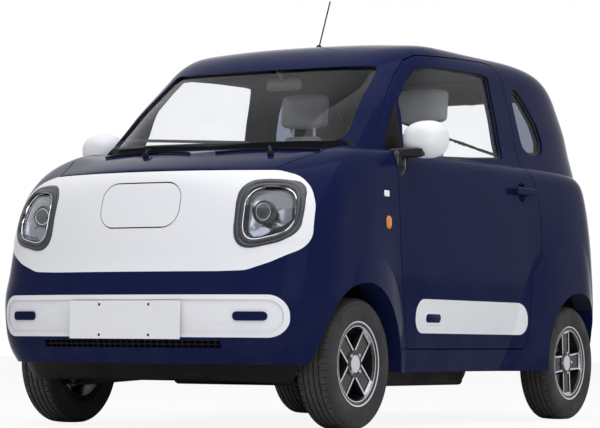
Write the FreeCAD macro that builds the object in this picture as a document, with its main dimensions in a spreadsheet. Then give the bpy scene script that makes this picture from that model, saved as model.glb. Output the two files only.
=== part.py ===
"""A small electric car with two doors and a tailgate, in its own frame.

+X points forward, +Y to the car's left and +Z up. The origin lies on the floor, at mid-length.
Lengths are millimetres. A table or value whose name ends in share or shares holds fractions:
places along the car as a share of half the length, heights as a share of the roof's height,
and widths as a share of half the width.
"""

import FreeCAD
import Part
import Sketcher
import math
import os

V = FreeCAD.Vector

doc = FreeCAD.newDocument("Microcar")
sheet = doc.addObject("Spreadsheet::Sheet", "Sizes")

SIZES = (
    # whole car
    ("overall_length", 3000),
    ("overall_width", 1510),
    ("roof_height", 1612),
    ("wheelbase", 1953),
    ("front_axle_x", 943),
    ("axle_height", 254),
    # walls of the body
    ("side_wall", 75),
    ("nose_wall", 60),
    ("tail_wall", 55),
    ("deck_wall", 28),
    ("pillar_wall", 45),
    ("roof_wall", 40),
    ("sill_bottom", 220),
    ("bumper_bottom", 250),
    ("shut_gap", 5),
    ("seal_gap", 0.3),
    ("least_chip", 14),
    ("cut_over", 60),
    # wheels
    ("tyre_radius", 254),
    ("tyre_width", 145),
    ("tyre_seat_width", 112),
    ("tread_width", 108),
    ("shoulder_drop", 14),
    ("sidewall_bulge", 48),
    ("rim_radius", 152),
    ("rim_flange", 13),
    ("rim_lip", 5),
    ("rim_wall", 8),
    ("wheel_plane", 646),
    ("hub_radius", 52),
    ("hub_inner", 30),
    ("hub_front", 50),
    ("cap_radius", 34),
    ("cap_height", 4),
    ("spoke_thickness", 20),
    ("spoke_reach", 145.2),
    ("spoke_half_width", 37.6),
    ("spoke_root", 35.4),
    ("spoke_rib", 6),
    ("spoke_end_rib", 12),
    ("spoke_foot_rib", 8.4),
    ("spoke_recess", 4),
    ("disc_radius", 105),
    ("disc_thickness", 11),
    ("disc_setback", 17),
    ("stub_radius", 15),
    ("stub_reach", 27),
    ("axle_clearance", 0.05),
    ("arch_radius", 313),
    ("wheelhouse_wall", 425),
    ("liner_gauge", 12),
    ("front_wheel_turn", 48),
    ("rear_wheel_turn", 94),
    # panels
    ("panel_gauge", 22),
    ("strip_recess", 6),
    ("strip_rim", 18),
    ("strip_height", 160),
    ("strip_level", 431),
    ("strip_half_width", 655),
    ("pill_length", 127),
    ("pill_height", 34),
    ("pill_offset", 518),
    ("plate_width", 500),
    ("plate_height", 145),
    ("plate_level", 416),
    ("plate_gauge", 10),
    ("plate_pitch_y", 226),
    ("plate_pitch_z", 116),
    ("plate_hole_radius", 3.5),
    ("slot_half_width", 405),
    ("slot_bottom", 311),
    ("slot_height", 27),
    ("grille_bar", 6),
    ("grille_pitch", 27),
    ("door_strip_height", 138),
    ("door_strip_level", 445),
    ("door_strip_front", 470),
    ("door_strip_rear", 536),
    ("lid_width", 357),
    ("lid_height", 169),
    ("lid_level", 856),
    ("lid_corner", 66),
    ("lid_hinge_x", 1377.5),
    ("lid_hinge_rise", 2.5),
    ("lid_hinge_room", 34),
    ("bonnet_corner", 15),
    ("lamp_depth", 55),
    ("lens_depth", 14),
    # glass
    ("glass_inset", 12),
    ("glass_gauge", 5),
    # hinges of the doors and lids
    ("door_hinge_x", 654),
    ("door_hinge_y", 730),
    ("door_draft_share", 0.25),
    ("tailgate_top", 1545),
    ("tailgate_bottom", 572),
    # mirrors
    ("mirror_x", 540),
    ("mirror_y", 786),
    ("mirror_z", 1155),
    ("mirror_width", 176),
    ("mirror_height", 143),
    ("mirror_length", 120),
    ("mirror_rounding", 57),
    ("mirror_stalk_radius", 17),
    ("mirror_root_x", 600),
    ("mirror_root_z", 1085),
    ("mirror_glass_inset", 14),
    ("mirror_glass_gauge", 4),
    # handles
    ("handle_x", 487),
    ("handle_level", 998),
    ("handle_length", 200),
    ("handle_height", 30),
    ("handle_cup_radius", 44),
    # floor and running gear
    ("floor_level", 235),
    ("floor_gauge", 20),
    ("firewall_x", 867),
    ("firewall_top", 977),
    ("firewall_foot", 620),
    ("toe_x", 654),
    ("toe_rise", 60),
    ("kick_x", 654),
    ("kick_lean", 41),
    ("kick_level", 470),
    ("battery_length", 950),
    ("battery_width", 900),
    ("battery_height", 78),
    ("battery_rounding", 20),
    ("motor_radius", 105),
    ("motor_length", 300),
    ("motor_rounding", 20),
    ("axle_tube_radius", 30),
    ("strut_radius", 18),
    ("strut_rod_radius", 9),
    ("strut_tube_top", 500),
    ("coil_radius", 50),
    ("coil_wire_radius", 6),
    ("coil_pitch", 34),
    ("coil_bottom", 545),
    ("spring_seat_gauge", 9),
    ("tower_clearance", 10),
    ("arm_radius", 12),
    ("arm_rod_radius", 10.8),
    ("arm_eye_radius", 15),
    ("arm_spread", 120),
    ("rail_y", 250),
    ("rail_width", 40),
    ("rail_level", 215),
    ("rail_reach", 260),
    ("ball_low_y", 603),
    ("ball_low_z", 185),
    ("ball_pin_radius", 8),
    ("strut_top_y", 486),
    ("strut_top_z", 735),
    ("knuckle_face", 611),
    ("knuckle_boss_radius", 32),
    ("steer_arm_reach", 110),
    ("steer_arm_y", 575),
    ("steer_arm_z", 251),
    ("steer_arm_radius", 9),
    ("steer_eye_radius", 12),
    ("rack_radius", 13),
    ("rack_half_length", 300),
    ("rack_travel", 57.5),
    ("rack_setback", 100),
    ("rack_z", 215),
    ("rack_case_radius", 24),
    ("rack_case_half_length", 200),
    ("tie_rod_radius", 8),
    ("tie_ball_radius", 10),
    ("trailing_arm_y", 330),
    ("trailing_arm_radius", 17),
    ("trailing_arm_rise", 60),
    ("rear_spring_y", 490),
    ("shelf_level", 560),
    ("shelf_gauge", 12),
    ("air_dam_bottom", 186),
    ("air_dam_inset", 30),
    ("air_dam_gauge", 30),
    ("air_dam_floor_gauge", 14),
    # cabin
    ("seat_width", 460),
    ("seat_y", 300),
    ("seat_rounding", 30),
    ("seat_side_rounding", 21),
    ("plinth_half_width", 165),
    ("plinth_front", 160),
    ("plinth_rear", -168),
    ("bench_half_width", 405),
    ("steering_wheel_x", 470),
    ("steering_wheel_y", 310),
    ("steering_wheel_z", 985),
    ("steering_wheel_radius", 175),
    ("steering_wheel_wire", 14),
    ("steering_boss_radius", 52),
    ("steering_boss_depth", 34),
    ("steering_tilt", 25),
    ("column_radius", 26),
    ("column_shaft_radius", 12),
    ("column_length", 170),
    ("column_gap", 40),
    ("display_width", 230),
    ("display_height", 130),
    ("display_rounding", 4.9),
    ("display_gauge", 14),
    ("dash_half_width", 560),
    ("dash_top", 1082),
    ("dash_bottom", 740),
    ("dash_front", 845),
    ("dash_rear", 600),
    ("antenna_x", 35),
    ("antenna_length", 232),
    ("antenna_radius", 3),
    ("antenna_foot_radius", 13),
    ("antenna_lean", 24),
    # buffers that the doors and lids rest on
    ("buffer_radius", 9),
)

for row, (alias, value) in enumerate(SIZES, start=1):
    sheet.set("A%d" % row, alias)
    sheet.set("B%d" % row, str(value))
    sheet.setAlias("B%d" % row, alias)
doc.recompute()


class SizeReader:
    """Gives a cell of the sheet by its alias, as a plain number."""

    def __getattr__(self, alias):
        return float(sheet.get(alias))


s = SizeReader()
HALF_LENGTH = s.overall_length / 2
HALF_WIDTH = s.overall_width / 2
HEIGHT = s.roof_height
REAR_AXLE_X = s.front_axle_x - s.wheelbase
AXLES = (("front", s.front_axle_x), ("rear", REAR_AXLE_X))
SIDES = (("left", 1), ("right", -1))

# Height, half width, nose, tail and extra width at the corners of the lower body, from below
LOWER_SHARES = (
    (0.105, 0.875, 0.945, 0.945, 0.020),
    (0.205, 0.927, 0.988, 0.993, 0.040),
    (0.267, 0.940, 0.9955, 1.000, 0.044),
    (0.317, 0.948, 0.991, 0.998, 0.042),
    (0.373, 0.955, 0.969, 0.991, 0.036),
    (0.481, 0.960, 0.946, 0.985, 0.020),
    (0.561, 0.960, 0.925, 0.970, 0.010),
    (0.620, 0.955, 0.907, 0.950, 0.004),
    (0.690, 0.940, 0.885, 0.925, 0.000),
)
# Place along the car and height of the bonnet and the belt
DECK_SHARES = (
    (-1.00, 0.640),
    (-0.80, 0.690),
    (-0.27, 0.704),
    (0.20, 0.700),
    (0.50, 0.695),
    (0.60, 0.689),
    (0.733, 0.666),
    (0.833, 0.638),
    (0.925, 0.606),
    (1.00, 0.570),
)
# Height, half width, windscreen and rear glass of the cabin
CABIN_SHARES = (
    (0.640, 0.905, 0.672, 0.965),
    (0.693, 0.892, 0.600, 0.956),
    (0.740, 0.868, 0.540, 0.946),
    (0.806, 0.848, 0.452, 0.924),
    (0.900, 0.808, 0.310, 0.868),
    (0.950, 0.790, 0.240, 0.815),
    (1.030, 0.755, 0.130, 0.720),
)
# Place along the car and height of the roof's middle line
ROOF_SHARES = (
    (-0.95, 0.900),
    (-0.86, 0.943),
    (-0.75, 0.973),
    (-0.60, 0.991),
    (-0.45, 0.999),
    (-0.25, 1.000),
    (0.00, 0.9985),
    (0.07, 0.994),
    (0.15, 0.980),
    (0.26, 0.940),
    (0.36, 0.890),
    (0.60, 0.720),
)


def smooth(rows, at):
    """Values of a table at one place, along a smooth curve through its rows."""
    places = [row[0] for row in rows]
    if at <= places[0]:
        return rows[0][1:]
    if at >= places[-1]:
        return rows[-1][1:]
    low = max(i for i, place in enumerate(places[:-1]) if place <= at)
    step = places[low + 1] - places[low]
    part = (at - places[low]) / step

    def slope(index, column):
        before = max(index - 1, 0)
        after = min(index + 1, len(rows) - 1)
        return (rows[after][column] - rows[before][column]) / (places[after] - places[before])

    values = []
    for column in range(1, len(rows[0])):
        start, end = rows[low][column], rows[low + 1][column]
        start_slope, end_slope = slope(low, column) * step, slope(low + 1, column) * step
        values.append(
            (2 * part**3 - 3 * part**2 + 1) * start
            + (part**3 - 2 * part**2 + part) * start_slope
            + (3 * part**2 - 2 * part**3) * end
            + (part**3 - part**2) * end_slope
        )
    return values


def ramp(value, start, end):
    """0 before start, 1 after end, with a soft step between."""
    part = min(max((value - start) / (end - start), 0), 1)
    return part * part * (3 - 2 * part)


class Trim:
    """How far a surface lies inside the outer skin, at the sides, nose, tail and top."""

    def __init__(self, side=0.0, nose=0.0, tail=0.0, top=0.0):
        self.side = side
        self.nose = nose
        self.tail = tail
        self.top = top


OUTSIDE = Trim()
CORNER_SHARE = 0.4
CORNER_SOLVER_STEPS = 40
LOWER_CORNER_X_SHARE = 0.4
LOWER_FRONT_POWERS = (10.5, 1.8)
LOWER_REAR_POWERS = (8.5, 1.8)
CABIN_FRONT_CORNER_SHARE = -0.067
CABIN_REAR_CORNER_SHARE = -0.333
CABIN_FRONT_POWERS = (5.0, 5.0)
CABIN_REAR_POWERS = (5.0, 4.7)
WIDENING_SHARE = 0.22
NOSE_DROP_START_SHARE = 0.567
NOSE_DROP_END_SHARE = 0.867
SHOULDER_START_SHARE = 0.433
SHOULDER_END_SHARE = 0.8


def corner(angle, powers):
    """Point of the unit superellipse in one direction."""
    along, across = math.cos(angle), math.sin(angle)
    near, far = 0.0, 2.0
    for _ in range(CORNER_SOLVER_STEPS):
        middle = (near + far) / 2
        if (middle * along) ** powers[0] + (middle * across) ** powers[1] > 1:
            far = middle
        else:
            near = middle
    return near * along, near * across


def outline_point(share, front, rear, half, corners, powers):
    """Point of the left half of an outline seen from above: 0 is the tail, 1 the nose."""
    if share < CORNER_SHARE:
        along, across = corner(share / CORNER_SHARE * math.pi / 2, powers[1])
        return corners[1] - (corners[1] - rear) * along, half * across
    if share > 1 - CORNER_SHARE:
        along, across = corner((1 - share) / CORNER_SHARE * math.pi / 2, powers[0])
        return corners[0] + (front - corners[0]) * along, half * across
    part = (share - CORNER_SHARE) / (1 - 2 * CORNER_SHARE)
    return corners[1] + part * (corners[0] - corners[1]), half


def lower_plan(height, share, trim):
    """Outline of the lower body at one height."""
    half, nose, tail, widening = smooth(LOWER_SHARES, height / HEIGHT)
    inner_half = half * HALF_WIDTH - trim.side
    corner_x = LOWER_CORNER_X_SHARE * HALF_LENGTH
    x, y = outline_point(
        share,
        nose * HALF_LENGTH - trim.nose,
        -tail * HALF_LENGTH + trim.tail,
        inner_half,
        (corner_x, -corner_x),
        (LOWER_FRONT_POWERS, LOWER_REAR_POWERS),
    )
    wider = widening * HALF_WIDTH * ramp(abs(x), corner_x, corner_x + WIDENING_SHARE * HALF_LENGTH)
    return x, y * (1 + wider / inner_half)


DECK_CAMBER_SHARE = 0.0087
NOSE_CAMBER_SHARE = 0.028
CAMBER_WIDTH_SHARE = 0.795
ROOF_CAMBER_SHARE = 0.0124
ROOF_CAMBER_WIDTH_SHARE = 0.662
ROOF_CAMBER_POWER = 2.4


def deck_height(x, y, trim):
    """Height of the bonnet and belt surface."""
    drop = ramp(x, NOSE_DROP_START_SHARE * HALF_LENGTH, NOSE_DROP_END_SHARE * HALF_LENGTH)
    camber = (DECK_CAMBER_SHARE + NOSE_CAMBER_SHARE * drop) * HEIGHT
    across = y / (CAMBER_WIDTH_SHARE * HALF_WIDTH)
    return smooth(DECK_SHARES, x / HALF_LENGTH)[0] * HEIGHT - camber * across**2 - trim.top


def cabin_plan(height, share, trim):
    """Outline of the glass house at one height."""
    half, front, rear = smooth(CABIN_SHARES, height / HEIGHT)
    return outline_point(
        share,
        front * HALF_LENGTH - trim.nose,
        -rear * HALF_LENGTH + trim.tail,
        half * HALF_WIDTH - trim.side,
        (CABIN_FRONT_CORNER_SHARE * HALF_LENGTH, CABIN_REAR_CORNER_SHARE * HALF_LENGTH),
        (CABIN_FRONT_POWERS, CABIN_REAR_POWERS),
    )


def roof_surface(x, y, trim):
    """Height of the roof surface."""
    across = abs(y) / (ROOF_CAMBER_WIDTH_SHARE * HALF_WIDTH)
    middle = smooth(ROOF_SHARES, x / HALF_LENGTH)[0] * HEIGHT
    return middle - ROOF_CAMBER_SHARE * HEIGHT * across**ROOF_CAMBER_POWER - trim.top


# Rise and inward reach of the rounded edge between wall and top, at the ends and at the sides
LOWER_RISE_SHARES = (0.034, 0.0465)
LOWER_REACH_SHARES = (0.060, 0.0993)
NOSE_RISE_SHARE = 0.0744
NOSE_REACH_SHARE = 0.1192
CABIN_RISE_SHARES = (0.0372, 0.0589)
CABIN_REACH_SHARES = (0.1192, 0.1258)
SIDE_WEIGHT_SHARE = 0.8
OUTLINE_STEPS = 26
EDGE_STEPS = 4
SOLVER_STEPS = 50


def closed_skin(plan, top, trim, bottom, pole_x, steps, end_share, cap_height, edge):
    """A solid under one smooth skin: walls from outlines, a rounded edge and a crowned top."""
    wall_steps, top_steps = steps
    rises, reaches, nose_rise, nose_reach = edge
    columns = []
    for index in range(OUTLINE_STEPS + 1):
        share = index / OUTLINE_STEPS
        meet = s.tailgate_bottom
        for _ in range(SOLVER_STEPS):
            x, y = plan(meet, share, trim)
            meet = (meet + top(x, y, trim)) / 2
        side = min(1.0, (y / (HALF_WIDTH * SIDE_WEIGHT_SHARE)) ** 2)
        ahead = ramp(x, SHOULDER_START_SHARE * HALF_LENGTH, SHOULDER_END_SHARE * HALF_LENGTH)
        side_rise = rises[1] + nose_rise * ahead
        side_reach = reaches[1] + nose_reach * ahead
        rise = HEIGHT * (rises[0] + (side_rise - rises[0]) * side)
        reach = HALF_WIDTH * (reaches[0] + (side_reach - reaches[0]) * side)
        column = []
        for step in range(wall_steps + 1):
            height = bottom + (meet - rise - bottom) * step / wall_steps
            wall_x, wall_y = plan(height, share, trim)
            column.append(V(wall_x, wall_y, height))
        start = column[-1]
        crest = V(x, y, meet)
        keep = 1 - reach / math.hypot(x - pole_x, y)
        inner_x, inner_y = pole_x + (x - pole_x) * keep, y * keep
        end = V(inner_x, inner_y, top(inner_x, inner_y, trim))
        for step in range(1, EDGE_STEPS + 1):
            part = step / EDGE_STEPS
            column.append(start * (1 - part) ** 2 + crest * (2 * part * (1 - part)) + end * part**2)
        for step in range(1, top_steps + 1):
            keep = 1 + (end_share - 1) * step / top_steps
            top_x, top_y = pole_x + (inner_x - pole_x) * keep, inner_y * keep
            height = cap_height if step == top_steps else top(top_x, top_y, trim)
            column.append(V(top_x, top_y, height))
        columns.append(column)

    def half(sign):
        rows = []
        for index in range(-2, OUTLINE_STEPS + 3):
            mirrored = index < 0 or index > OUTLINE_STEPS
            source = abs(index) if index <= OUTLINE_STEPS else 2 * OUTLINE_STEPS - index
            flip = -sign if mirrored else sign
            rows.append([V(point.x, flip * point.y, point.z) for point in columns[source]])
        surface = Part.BSplineSurface()
        surface.interpolate(rows)
        middle = len(rows[0]) // 2
        first = surface.parameter(rows[2][middle])[0]
        last = surface.parameter(rows[OUTLINE_STEPS + 2][middle])[0]
        knots = surface.getUKnots()
        bounds = surface.bounds()
        surface.segment(
            min(knots, key=lambda knot: abs(knot - first)),
            min(knots, key=lambda knot: abs(knot - last)),
            bounds[2],
            bounds[3],
        )
        return surface.toShape()

    faces = [half(1), half(-1)]
    flat = s.seal_gap
    caps = []
    for height in (bottom, cap_height):
        rim = [
            edge
            for face in faces
            for edge in face.Edges
            if abs(edge.BoundBox.ZMin - height) < flat and abs(edge.BoundBox.ZMax - height) < flat
        ]
        caps.append(Part.Face(Part.Wire(Part.__sortEdges__(rim))))
    shell = Part.makeShell(faces + caps)
    shell.sewShape()
    solid = Part.Solid(shell if shell.ShapeType == "Shell" else shell.Shells[0])
    if solid.Volume < 0:
        solid.reverse()
    return solid


LOWER_POLE_SHARE = -0.067
LOWER_CAP_SHARE = 0.7134
LOWER_END_SHARE = 0.45
LOWER_STEPS = (9, 5)
CABIN_STEPS = (7, 7)
CABIN_POLE_SHARE = -0.233
CABIN_BOTTOM_SHARE = 0.648
CABIN_END_SHARE = 0.07


def lower_solid(trim, bottom):
    """The body up to the belt and the bonnet."""
    edge = (LOWER_RISE_SHARES, LOWER_REACH_SHARES, NOSE_RISE_SHARE, NOSE_REACH_SHARE)
    pole = LOWER_POLE_SHARE * HALF_LENGTH
    cap = LOWER_CAP_SHARE * HEIGHT - trim.top
    return closed_skin(lower_plan, deck_height, trim, bottom, pole, LOWER_STEPS, LOWER_END_SHARE, cap, edge)


def cabin_solid(trim):
    """The glass house and the roof."""
    edge = (CABIN_RISE_SHARES, CABIN_REACH_SHARES, 0.0, 0.0)
    pole = CABIN_POLE_SHARE * HALF_LENGTH
    cap = roof_surface(pole, 0, trim)
    bottom = CABIN_BOTTOM_SHARE * HEIGHT
    return closed_skin(cabin_plan, roof_surface, trim, bottom, pole, CABIN_STEPS, CABIN_END_SHARE, cap, edge)


# Reach fore and aft and upwards, power and depth of the bulge over each wheel
FLARES = (("front", s.front_axle_x, 0.233, 0.360, 2.0), ("rear", REAR_AXLE_X, 0.350, 0.397, 2.4))
FLARE_ROOT_SHARE = 0.7417
FLARE_PEAK_SHARE = 0.275
FLARE_FALL_SHARE = 0.4047
FLARE_SPAN_SHARE = 1.25
FLARE_END_SHARE = 0.2
FLARE_BEND_START_SHARE = 0.04
FLARE_BEND_SHARE = 1.95
FLARE_LEAST_SHARE = 0.02
FLARE_STEPS = (16, 14)
FLARE_LOW_SHARE = -0.30
FLARE_RISE_SHARE = 1.5
FLARE_DEPTH_SHARE = 0.25


def flare_solid(hub_x, along_share, up_share, power):
    """The domed bulge over a left wheel, as a height field closed inwards."""
    along, up = along_share * HALF_LENGTH, up_share * HEIGHT
    outward = 1 if hub_x > 0 else -1
    inner_end = -FLARE_SPAN_SHARE * along
    outer_end = FLARE_END_SHARE * HALF_LENGTH
    rows = []
    for index in range(FLARE_STEPS[0] + 1):
        reach = inner_end + (outer_end - inner_end) * index / FLARE_STEPS[0]
        far = max(0.0, reach - FLARE_BEND_START_SHARE * HALF_LENGTH)
        row = []
        for level in range(FLARE_STEPS[1] + 1):
            rise = up * (FLARE_LOW_SHARE + FLARE_RISE_SHARE * level / FLARE_STEPS[1])
            fall = (abs(reach) / along) ** power + max(rise / up, 0) ** power
            bulge = math.sqrt(max(1 - FLARE_FALL_SHARE * fall, FLARE_LEAST_SHARE))
            bend = FLARE_BEND_SHARE * far**2 / HALF_LENGTH
            y = HALF_WIDTH * (FLARE_ROOT_SHARE + FLARE_PEAK_SHARE * bulge) - bend
            row.append(V(hub_x + outward * reach, y, s.axle_height + rise))
        rows.append(row)
    surface = Part.BSplineSurface()
    surface.interpolate(rows)
    bulge = surface.toShape().extrude(V(0, -FLARE_DEPTH_SHARE * HALF_WIDTH, 0))
    if bulge.Volume < 0:
        bulge.reverse()
    return bulge


def mirrored(shape):
    """The same shape on the car's right."""
    return shape.mirror(V(0, 0, 0), V(0, 1, 0))


def box(low, high):
    """A box between two corners."""
    return Part.makeBox(high[0] - low[0], high[1] - low[1], high[2] - low[2], V(*low))


ARC_EDGE_SHARE = 0.49
TINY_SHARE = 0.001


def rounded_wire(points, radius):
    """A closed polygon whose corners are arcs of one radius, or as large as fits."""
    count = len(points)
    cuts = []
    for index in range(count):
        here, before, after = points[index], points[index - 1], points[(index + 1) % count]
        back, ahead = before - here, after - here
        turn = math.pi - back.getAngle(ahead)
        reach = min(radius * math.tan(turn / 2), ARC_EDGE_SHARE * back.Length, ARC_EDGE_SHARE * ahead.Length)
        start = here + back.normalize() * reach
        end = here + ahead.normalize() * reach
        half_turn = turn / 2
        fitted = reach / math.tan(half_turn) if half_turn > TINY_SHARE else 0
        middle = here
        if fitted:
            bisector = (start + end) * 0.5 - here
            centre = here + bisector.normalize() * (fitted / math.cos(half_turn))
            middle = centre + (here - centre).normalize() * fitted
        cuts.append((start, middle, end, fitted))
    edges = []
    for index in range(count):
        start, middle, end, fitted = cuts[index]
        if fitted:
            edges.append(Part.Arc(start, middle, end).toShape())
        following = cuts[(index + 1) % count][0]
        if end.distanceToPoint(following) > TINY_SHARE:
            edges.append(Part.LineSegment(end, following).toShape())
    return Part.Wire(Part.__sortEdges__(edges))


def outline_face(points, radius, grow=0.0):
    """A flat face inside a rounded outline, grown outwards where asked."""
    face = Part.Face(rounded_wire(points, radius))
    if grow:
        face = face.makeOffset2D(grow)
    return face


def side_points(shares, y=0.0):
    """Outline points seen from the side."""
    return [V(x * HALF_LENGTH, y, z * HEIGHT) for x, z in shares]


def front_points(shares):
    """Outline points seen from the front."""
    return [V(0, y * HALF_WIDTH, z * HEIGHT) for y, z in shares]


def both_halves(shares):
    """A symmetric outline from its left half, given from the top middle to the bottom middle."""
    return list(shares) + [(-y, z) for y, z in reversed(shares)]


def drawn(face, travel):
    """A flat face drawn out into a solid whose faces look outwards."""
    solid = face.extrude(travel)
    if solid.Volume < 0:
        solid.reverse()
    return solid


def side_prism(shares, radius, low_y, high_y, grow=0.0):
    """Everything inside a side-view outline between two planes."""
    face = outline_face(side_points(shares), radius, grow)
    face.translate(V(0, low_y, 0))
    return drawn(face, V(0, high_y - low_y, 0))


def front_prism(points, radius, low_x, high_x, grow=0.0):
    """Everything inside a front-view outline between two planes."""
    face = outline_face(points, radius, grow)
    face.translate(V(low_x, 0, 0))
    return drawn(face, V(high_x - low_x, 0, 0))


def plan_prism(shares, radius, low_z, high_z, grow=0.0):
    """Everything inside an outline seen from above between two heights."""
    points = [V(x * HALF_LENGTH, y * HALF_WIDTH, 0) for x, y in shares]
    face = outline_face(points, radius, grow)
    face.translate(V(0, 0, low_z))
    return drawn(face, V(0, 0, high_z - low_z))


def pill_points(centre_y, level, width, height):
    """A rectangle in front view, to be rounded at its ends."""
    return [
        V(0, centre_y - width / 2, level - height / 2),
        V(0, centre_y + width / 2, level - height / 2),
        V(0, centre_y + width / 2, level + height / 2),
        V(0, centre_y - width / 2, level + height / 2),
    ]


def one_solid(shape):
    """The largest solid of a boolean's result."""
    return max(shape.Solids, key=lambda solid: solid.Volume)


def large_solids(shape, least):
    """The solids of a boolean's result that are more than a sliver."""
    solids = [solid for solid in shape.Solids if solid.Volume > least]
    return solids[0] if len(solids) == 1 else Part.makeCompound(solids)


def add(name, shape):
    """A sub-part of the document with its own label."""
    feature = doc.addObject("Part::Feature", name)
    feature.Label = name
    feature.Shape = shape
    return feature


SLIVER = s.least_chip**3
BIG = s.overall_length

# The body's outer skin, its hollow and its wall
outer = lower_solid(OUTSIDE, s.sill_bottom).fuse(cabin_solid(OUTSIDE))
for flare_name, hub_x, along_share, up_share, power in FLARES:
    bulge = flare_solid(hub_x, along_share, up_share, power)
    bulge = bulge.common(box((-BIG, 0, s.sill_bottom), (BIG, BIG, BIG)))
    outer = outer.fuse([bulge, mirrored(bulge)])

INNER_LOWER = Trim(s.side_wall, s.nose_wall, s.tail_wall, s.deck_wall)
INNER_CABIN = Trim(s.pillar_wall, s.pillar_wall, s.pillar_wall, s.roof_wall)
inner_bottom = s.sill_bottom - s.cut_over
hollow = lower_solid(INNER_LOWER, inner_bottom).fuse(cabin_solid(INNER_CABIN))
wall = outer.cut(hollow)

skin_panel = lower_solid(Trim(s.panel_gauge, s.panel_gauge, s.panel_gauge, s.panel_gauge), inner_bottom)
skin_recess = lower_solid(Trim(s.strip_recess, s.strip_recess, s.strip_recess, s.strip_recess), inner_bottom)
glass_outside = Trim(s.glass_inset, s.glass_inset, s.glass_inset, s.glass_inset)
glass_depth = s.glass_inset + s.glass_gauge
glass_inside = Trim(glass_depth, glass_depth, glass_depth, glass_depth)
glass_layer = cabin_solid(glass_outside).cut(cabin_solid(glass_inside))

arch_cuts = []
for axle_name, hub_x in AXLES:
    for side_name, sign in SIDES:
        start = V(hub_x, sign * s.wheelhouse_wall, s.axle_height)
        arch_cuts.append(Part.makeCylinder(s.arch_radius, HALF_WIDTH, start, V(0, sign, 0)))
wall = wall.cut(arch_cuts)
left_half = box((-BIG, 0, 0), (BIG, BIG, BIG))
left_wall = wall.common(left_half)

# Side view of the door, from its lower front corner upwards and round
DOOR_SHARES = (
    (0.344, 0.195),
    (0.399, 0.363),
    (0.418, 0.461),
    (0.426, 0.560),
    (0.430, 0.625),
    (0.438, 0.673),
    (0.410, 0.728),
    (0.363, 0.783),
    (0.302, 0.841),
    (0.241, 0.891),
    (0.189, 0.929),
    (0.143, 0.946),
    (0.046, 0.952),
    (-0.098, 0.960),
    (-0.258, 0.965),
    (-0.317, 0.963),
    (-0.346, 0.931),
    (-0.363, 0.825),
    (-0.375, 0.705),
    (-0.425, 0.627),
    (-0.445, 0.558),
    (-0.453, 0.490),
    (-0.443, 0.447),
    (-0.388, 0.401),
    (-0.368, 0.301),
    (-0.355, 0.233),
    (-0.331, 0.197),
)
DOOR_GLASS_SHARES = (
    (0.333, 0.682),
    (0.306, 0.754),
    (0.297, 0.818),
    (0.235, 0.872),
    (0.181, 0.907),
    (0.091, 0.922),
    (-0.069, 0.927),
    (-0.201, 0.930),
    (-0.258, 0.927),
    (-0.265, 0.831),
    (-0.275, 0.705),
    (-0.070, 0.692),
    (0.123, 0.683),
)
QUARTER_GLASS_SHARES = (
    (-0.409, 0.908),
    (-0.442, 0.903),
    (-0.489, 0.870),
    (-0.539, 0.820),
    (-0.568, 0.769),
    (-0.560, 0.742),
    (-0.531, 0.731),
    (-0.459, 0.726),
    (-0.421, 0.746),
    (-0.402, 0.806),
    (-0.397, 0.866),
)
DOOR_CORNER_SHARE = 0.0093
GLASS_CORNER_SHARE = 0.0124
QUARTER_CORNER_SHARE = 0.045
door_corner = DOOR_CORNER_SHARE * HALF_LENGTH
glass_corner = GLASS_CORNER_SHARE * HALF_LENGTH
quarter_corner = QUARTER_CORNER_SHARE * HALF_LENGTH
DOOR_INNER_SHARE = 0.709
door_inner_y = DOOR_INNER_SHARE * HALF_WIDTH
BELT_SHARE = 0.697


def skin_half_width(height):
    """Half width of the body's flat side at one height."""
    table = LOWER_SHARES if height < BELT_SHARE * HEIGHT else CABIN_SHARES
    return smooth(table, height / HEIGHT)[0] * HALF_WIDTH


def door_prism(grow):
    """The left door's outline, drawn inwards so that its edges lean forward towards the cabin."""
    start_y = s.door_hinge_y + s.cut_over
    points = []
    for x_share, z_share in DOOR_SHARES:
        height = z_share * HEIGHT
        lean = s.door_draft_share * (skin_half_width(height) - start_y)
        points.append(V(x_share * HALF_LENGTH + lean, 0, height))
    face = outline_face(points, door_corner, grow)
    face.translate(V(0, start_y, 0))
    depth = start_y - door_inner_y + grow
    return drawn(face, V(s.door_draft_share * depth, -depth, 0))


# Front view of the white face panel and its lamps, left half from the top
PANEL_SHARES = (
    (0.000, 0.613),
    (0.690, 0.613),
    (0.803, 0.599),
    (0.877, 0.569),
    (0.911, 0.528),
    (0.922, 0.451),
    (0.891, 0.425),
    (0.762, 0.394),
    (0.640, 0.374),
    (0.491, 0.372),
    (0.000, 0.372),
)
LAMP_SHARES = (
    (0.545, 0.591),
    (0.860, 0.586),
    (0.880, 0.455),
    (0.670, 0.429),
    (0.565, 0.434),
)
LAMP_LENS_SHARES = (
    (0.597, 0.572),
    (0.822, 0.569),
    (0.848, 0.470),
    (0.686, 0.448),
    (0.610, 0.456),
)
PANEL_CORNER_SHARE = 0.18
LAMP_CORNER_SHARE = 0.087
LENS_CORNER_SHARE = 0.06
NOSE_START_SHARE = 0.767
nose_start = NOSE_START_SHARE * HALF_LENGTH
nose_end = HALF_LENGTH + s.cut_over
panel_corner = PANEL_CORNER_SHARE * HALF_WIDTH
panel_top = PANEL_SHARES[0][1] * HEIGHT


def panel_prism(grow):
    """The face panel's outline, drawn along the car."""
    points = front_points(both_halves(PANEL_SHARES[1:-1]))
    return front_prism(points, panel_corner, nose_start, nose_end, grow)


def lamp_prisms(shares, corner_share, low_x, high_x):
    """One outline on the left and its mirror image on the right."""
    left = front_prism(front_points(shares), corner_share * HALF_WIDTH, low_x, high_x)
    return [left, mirrored(left)]


lid_points = pill_points(0, s.lid_level, s.lid_width, s.lid_height)


def lid_prism(grow):
    """The charging lid's outline, drawn along the car."""
    return front_prism(lid_points, s.lid_corner, nose_start, nose_end, grow)


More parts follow.
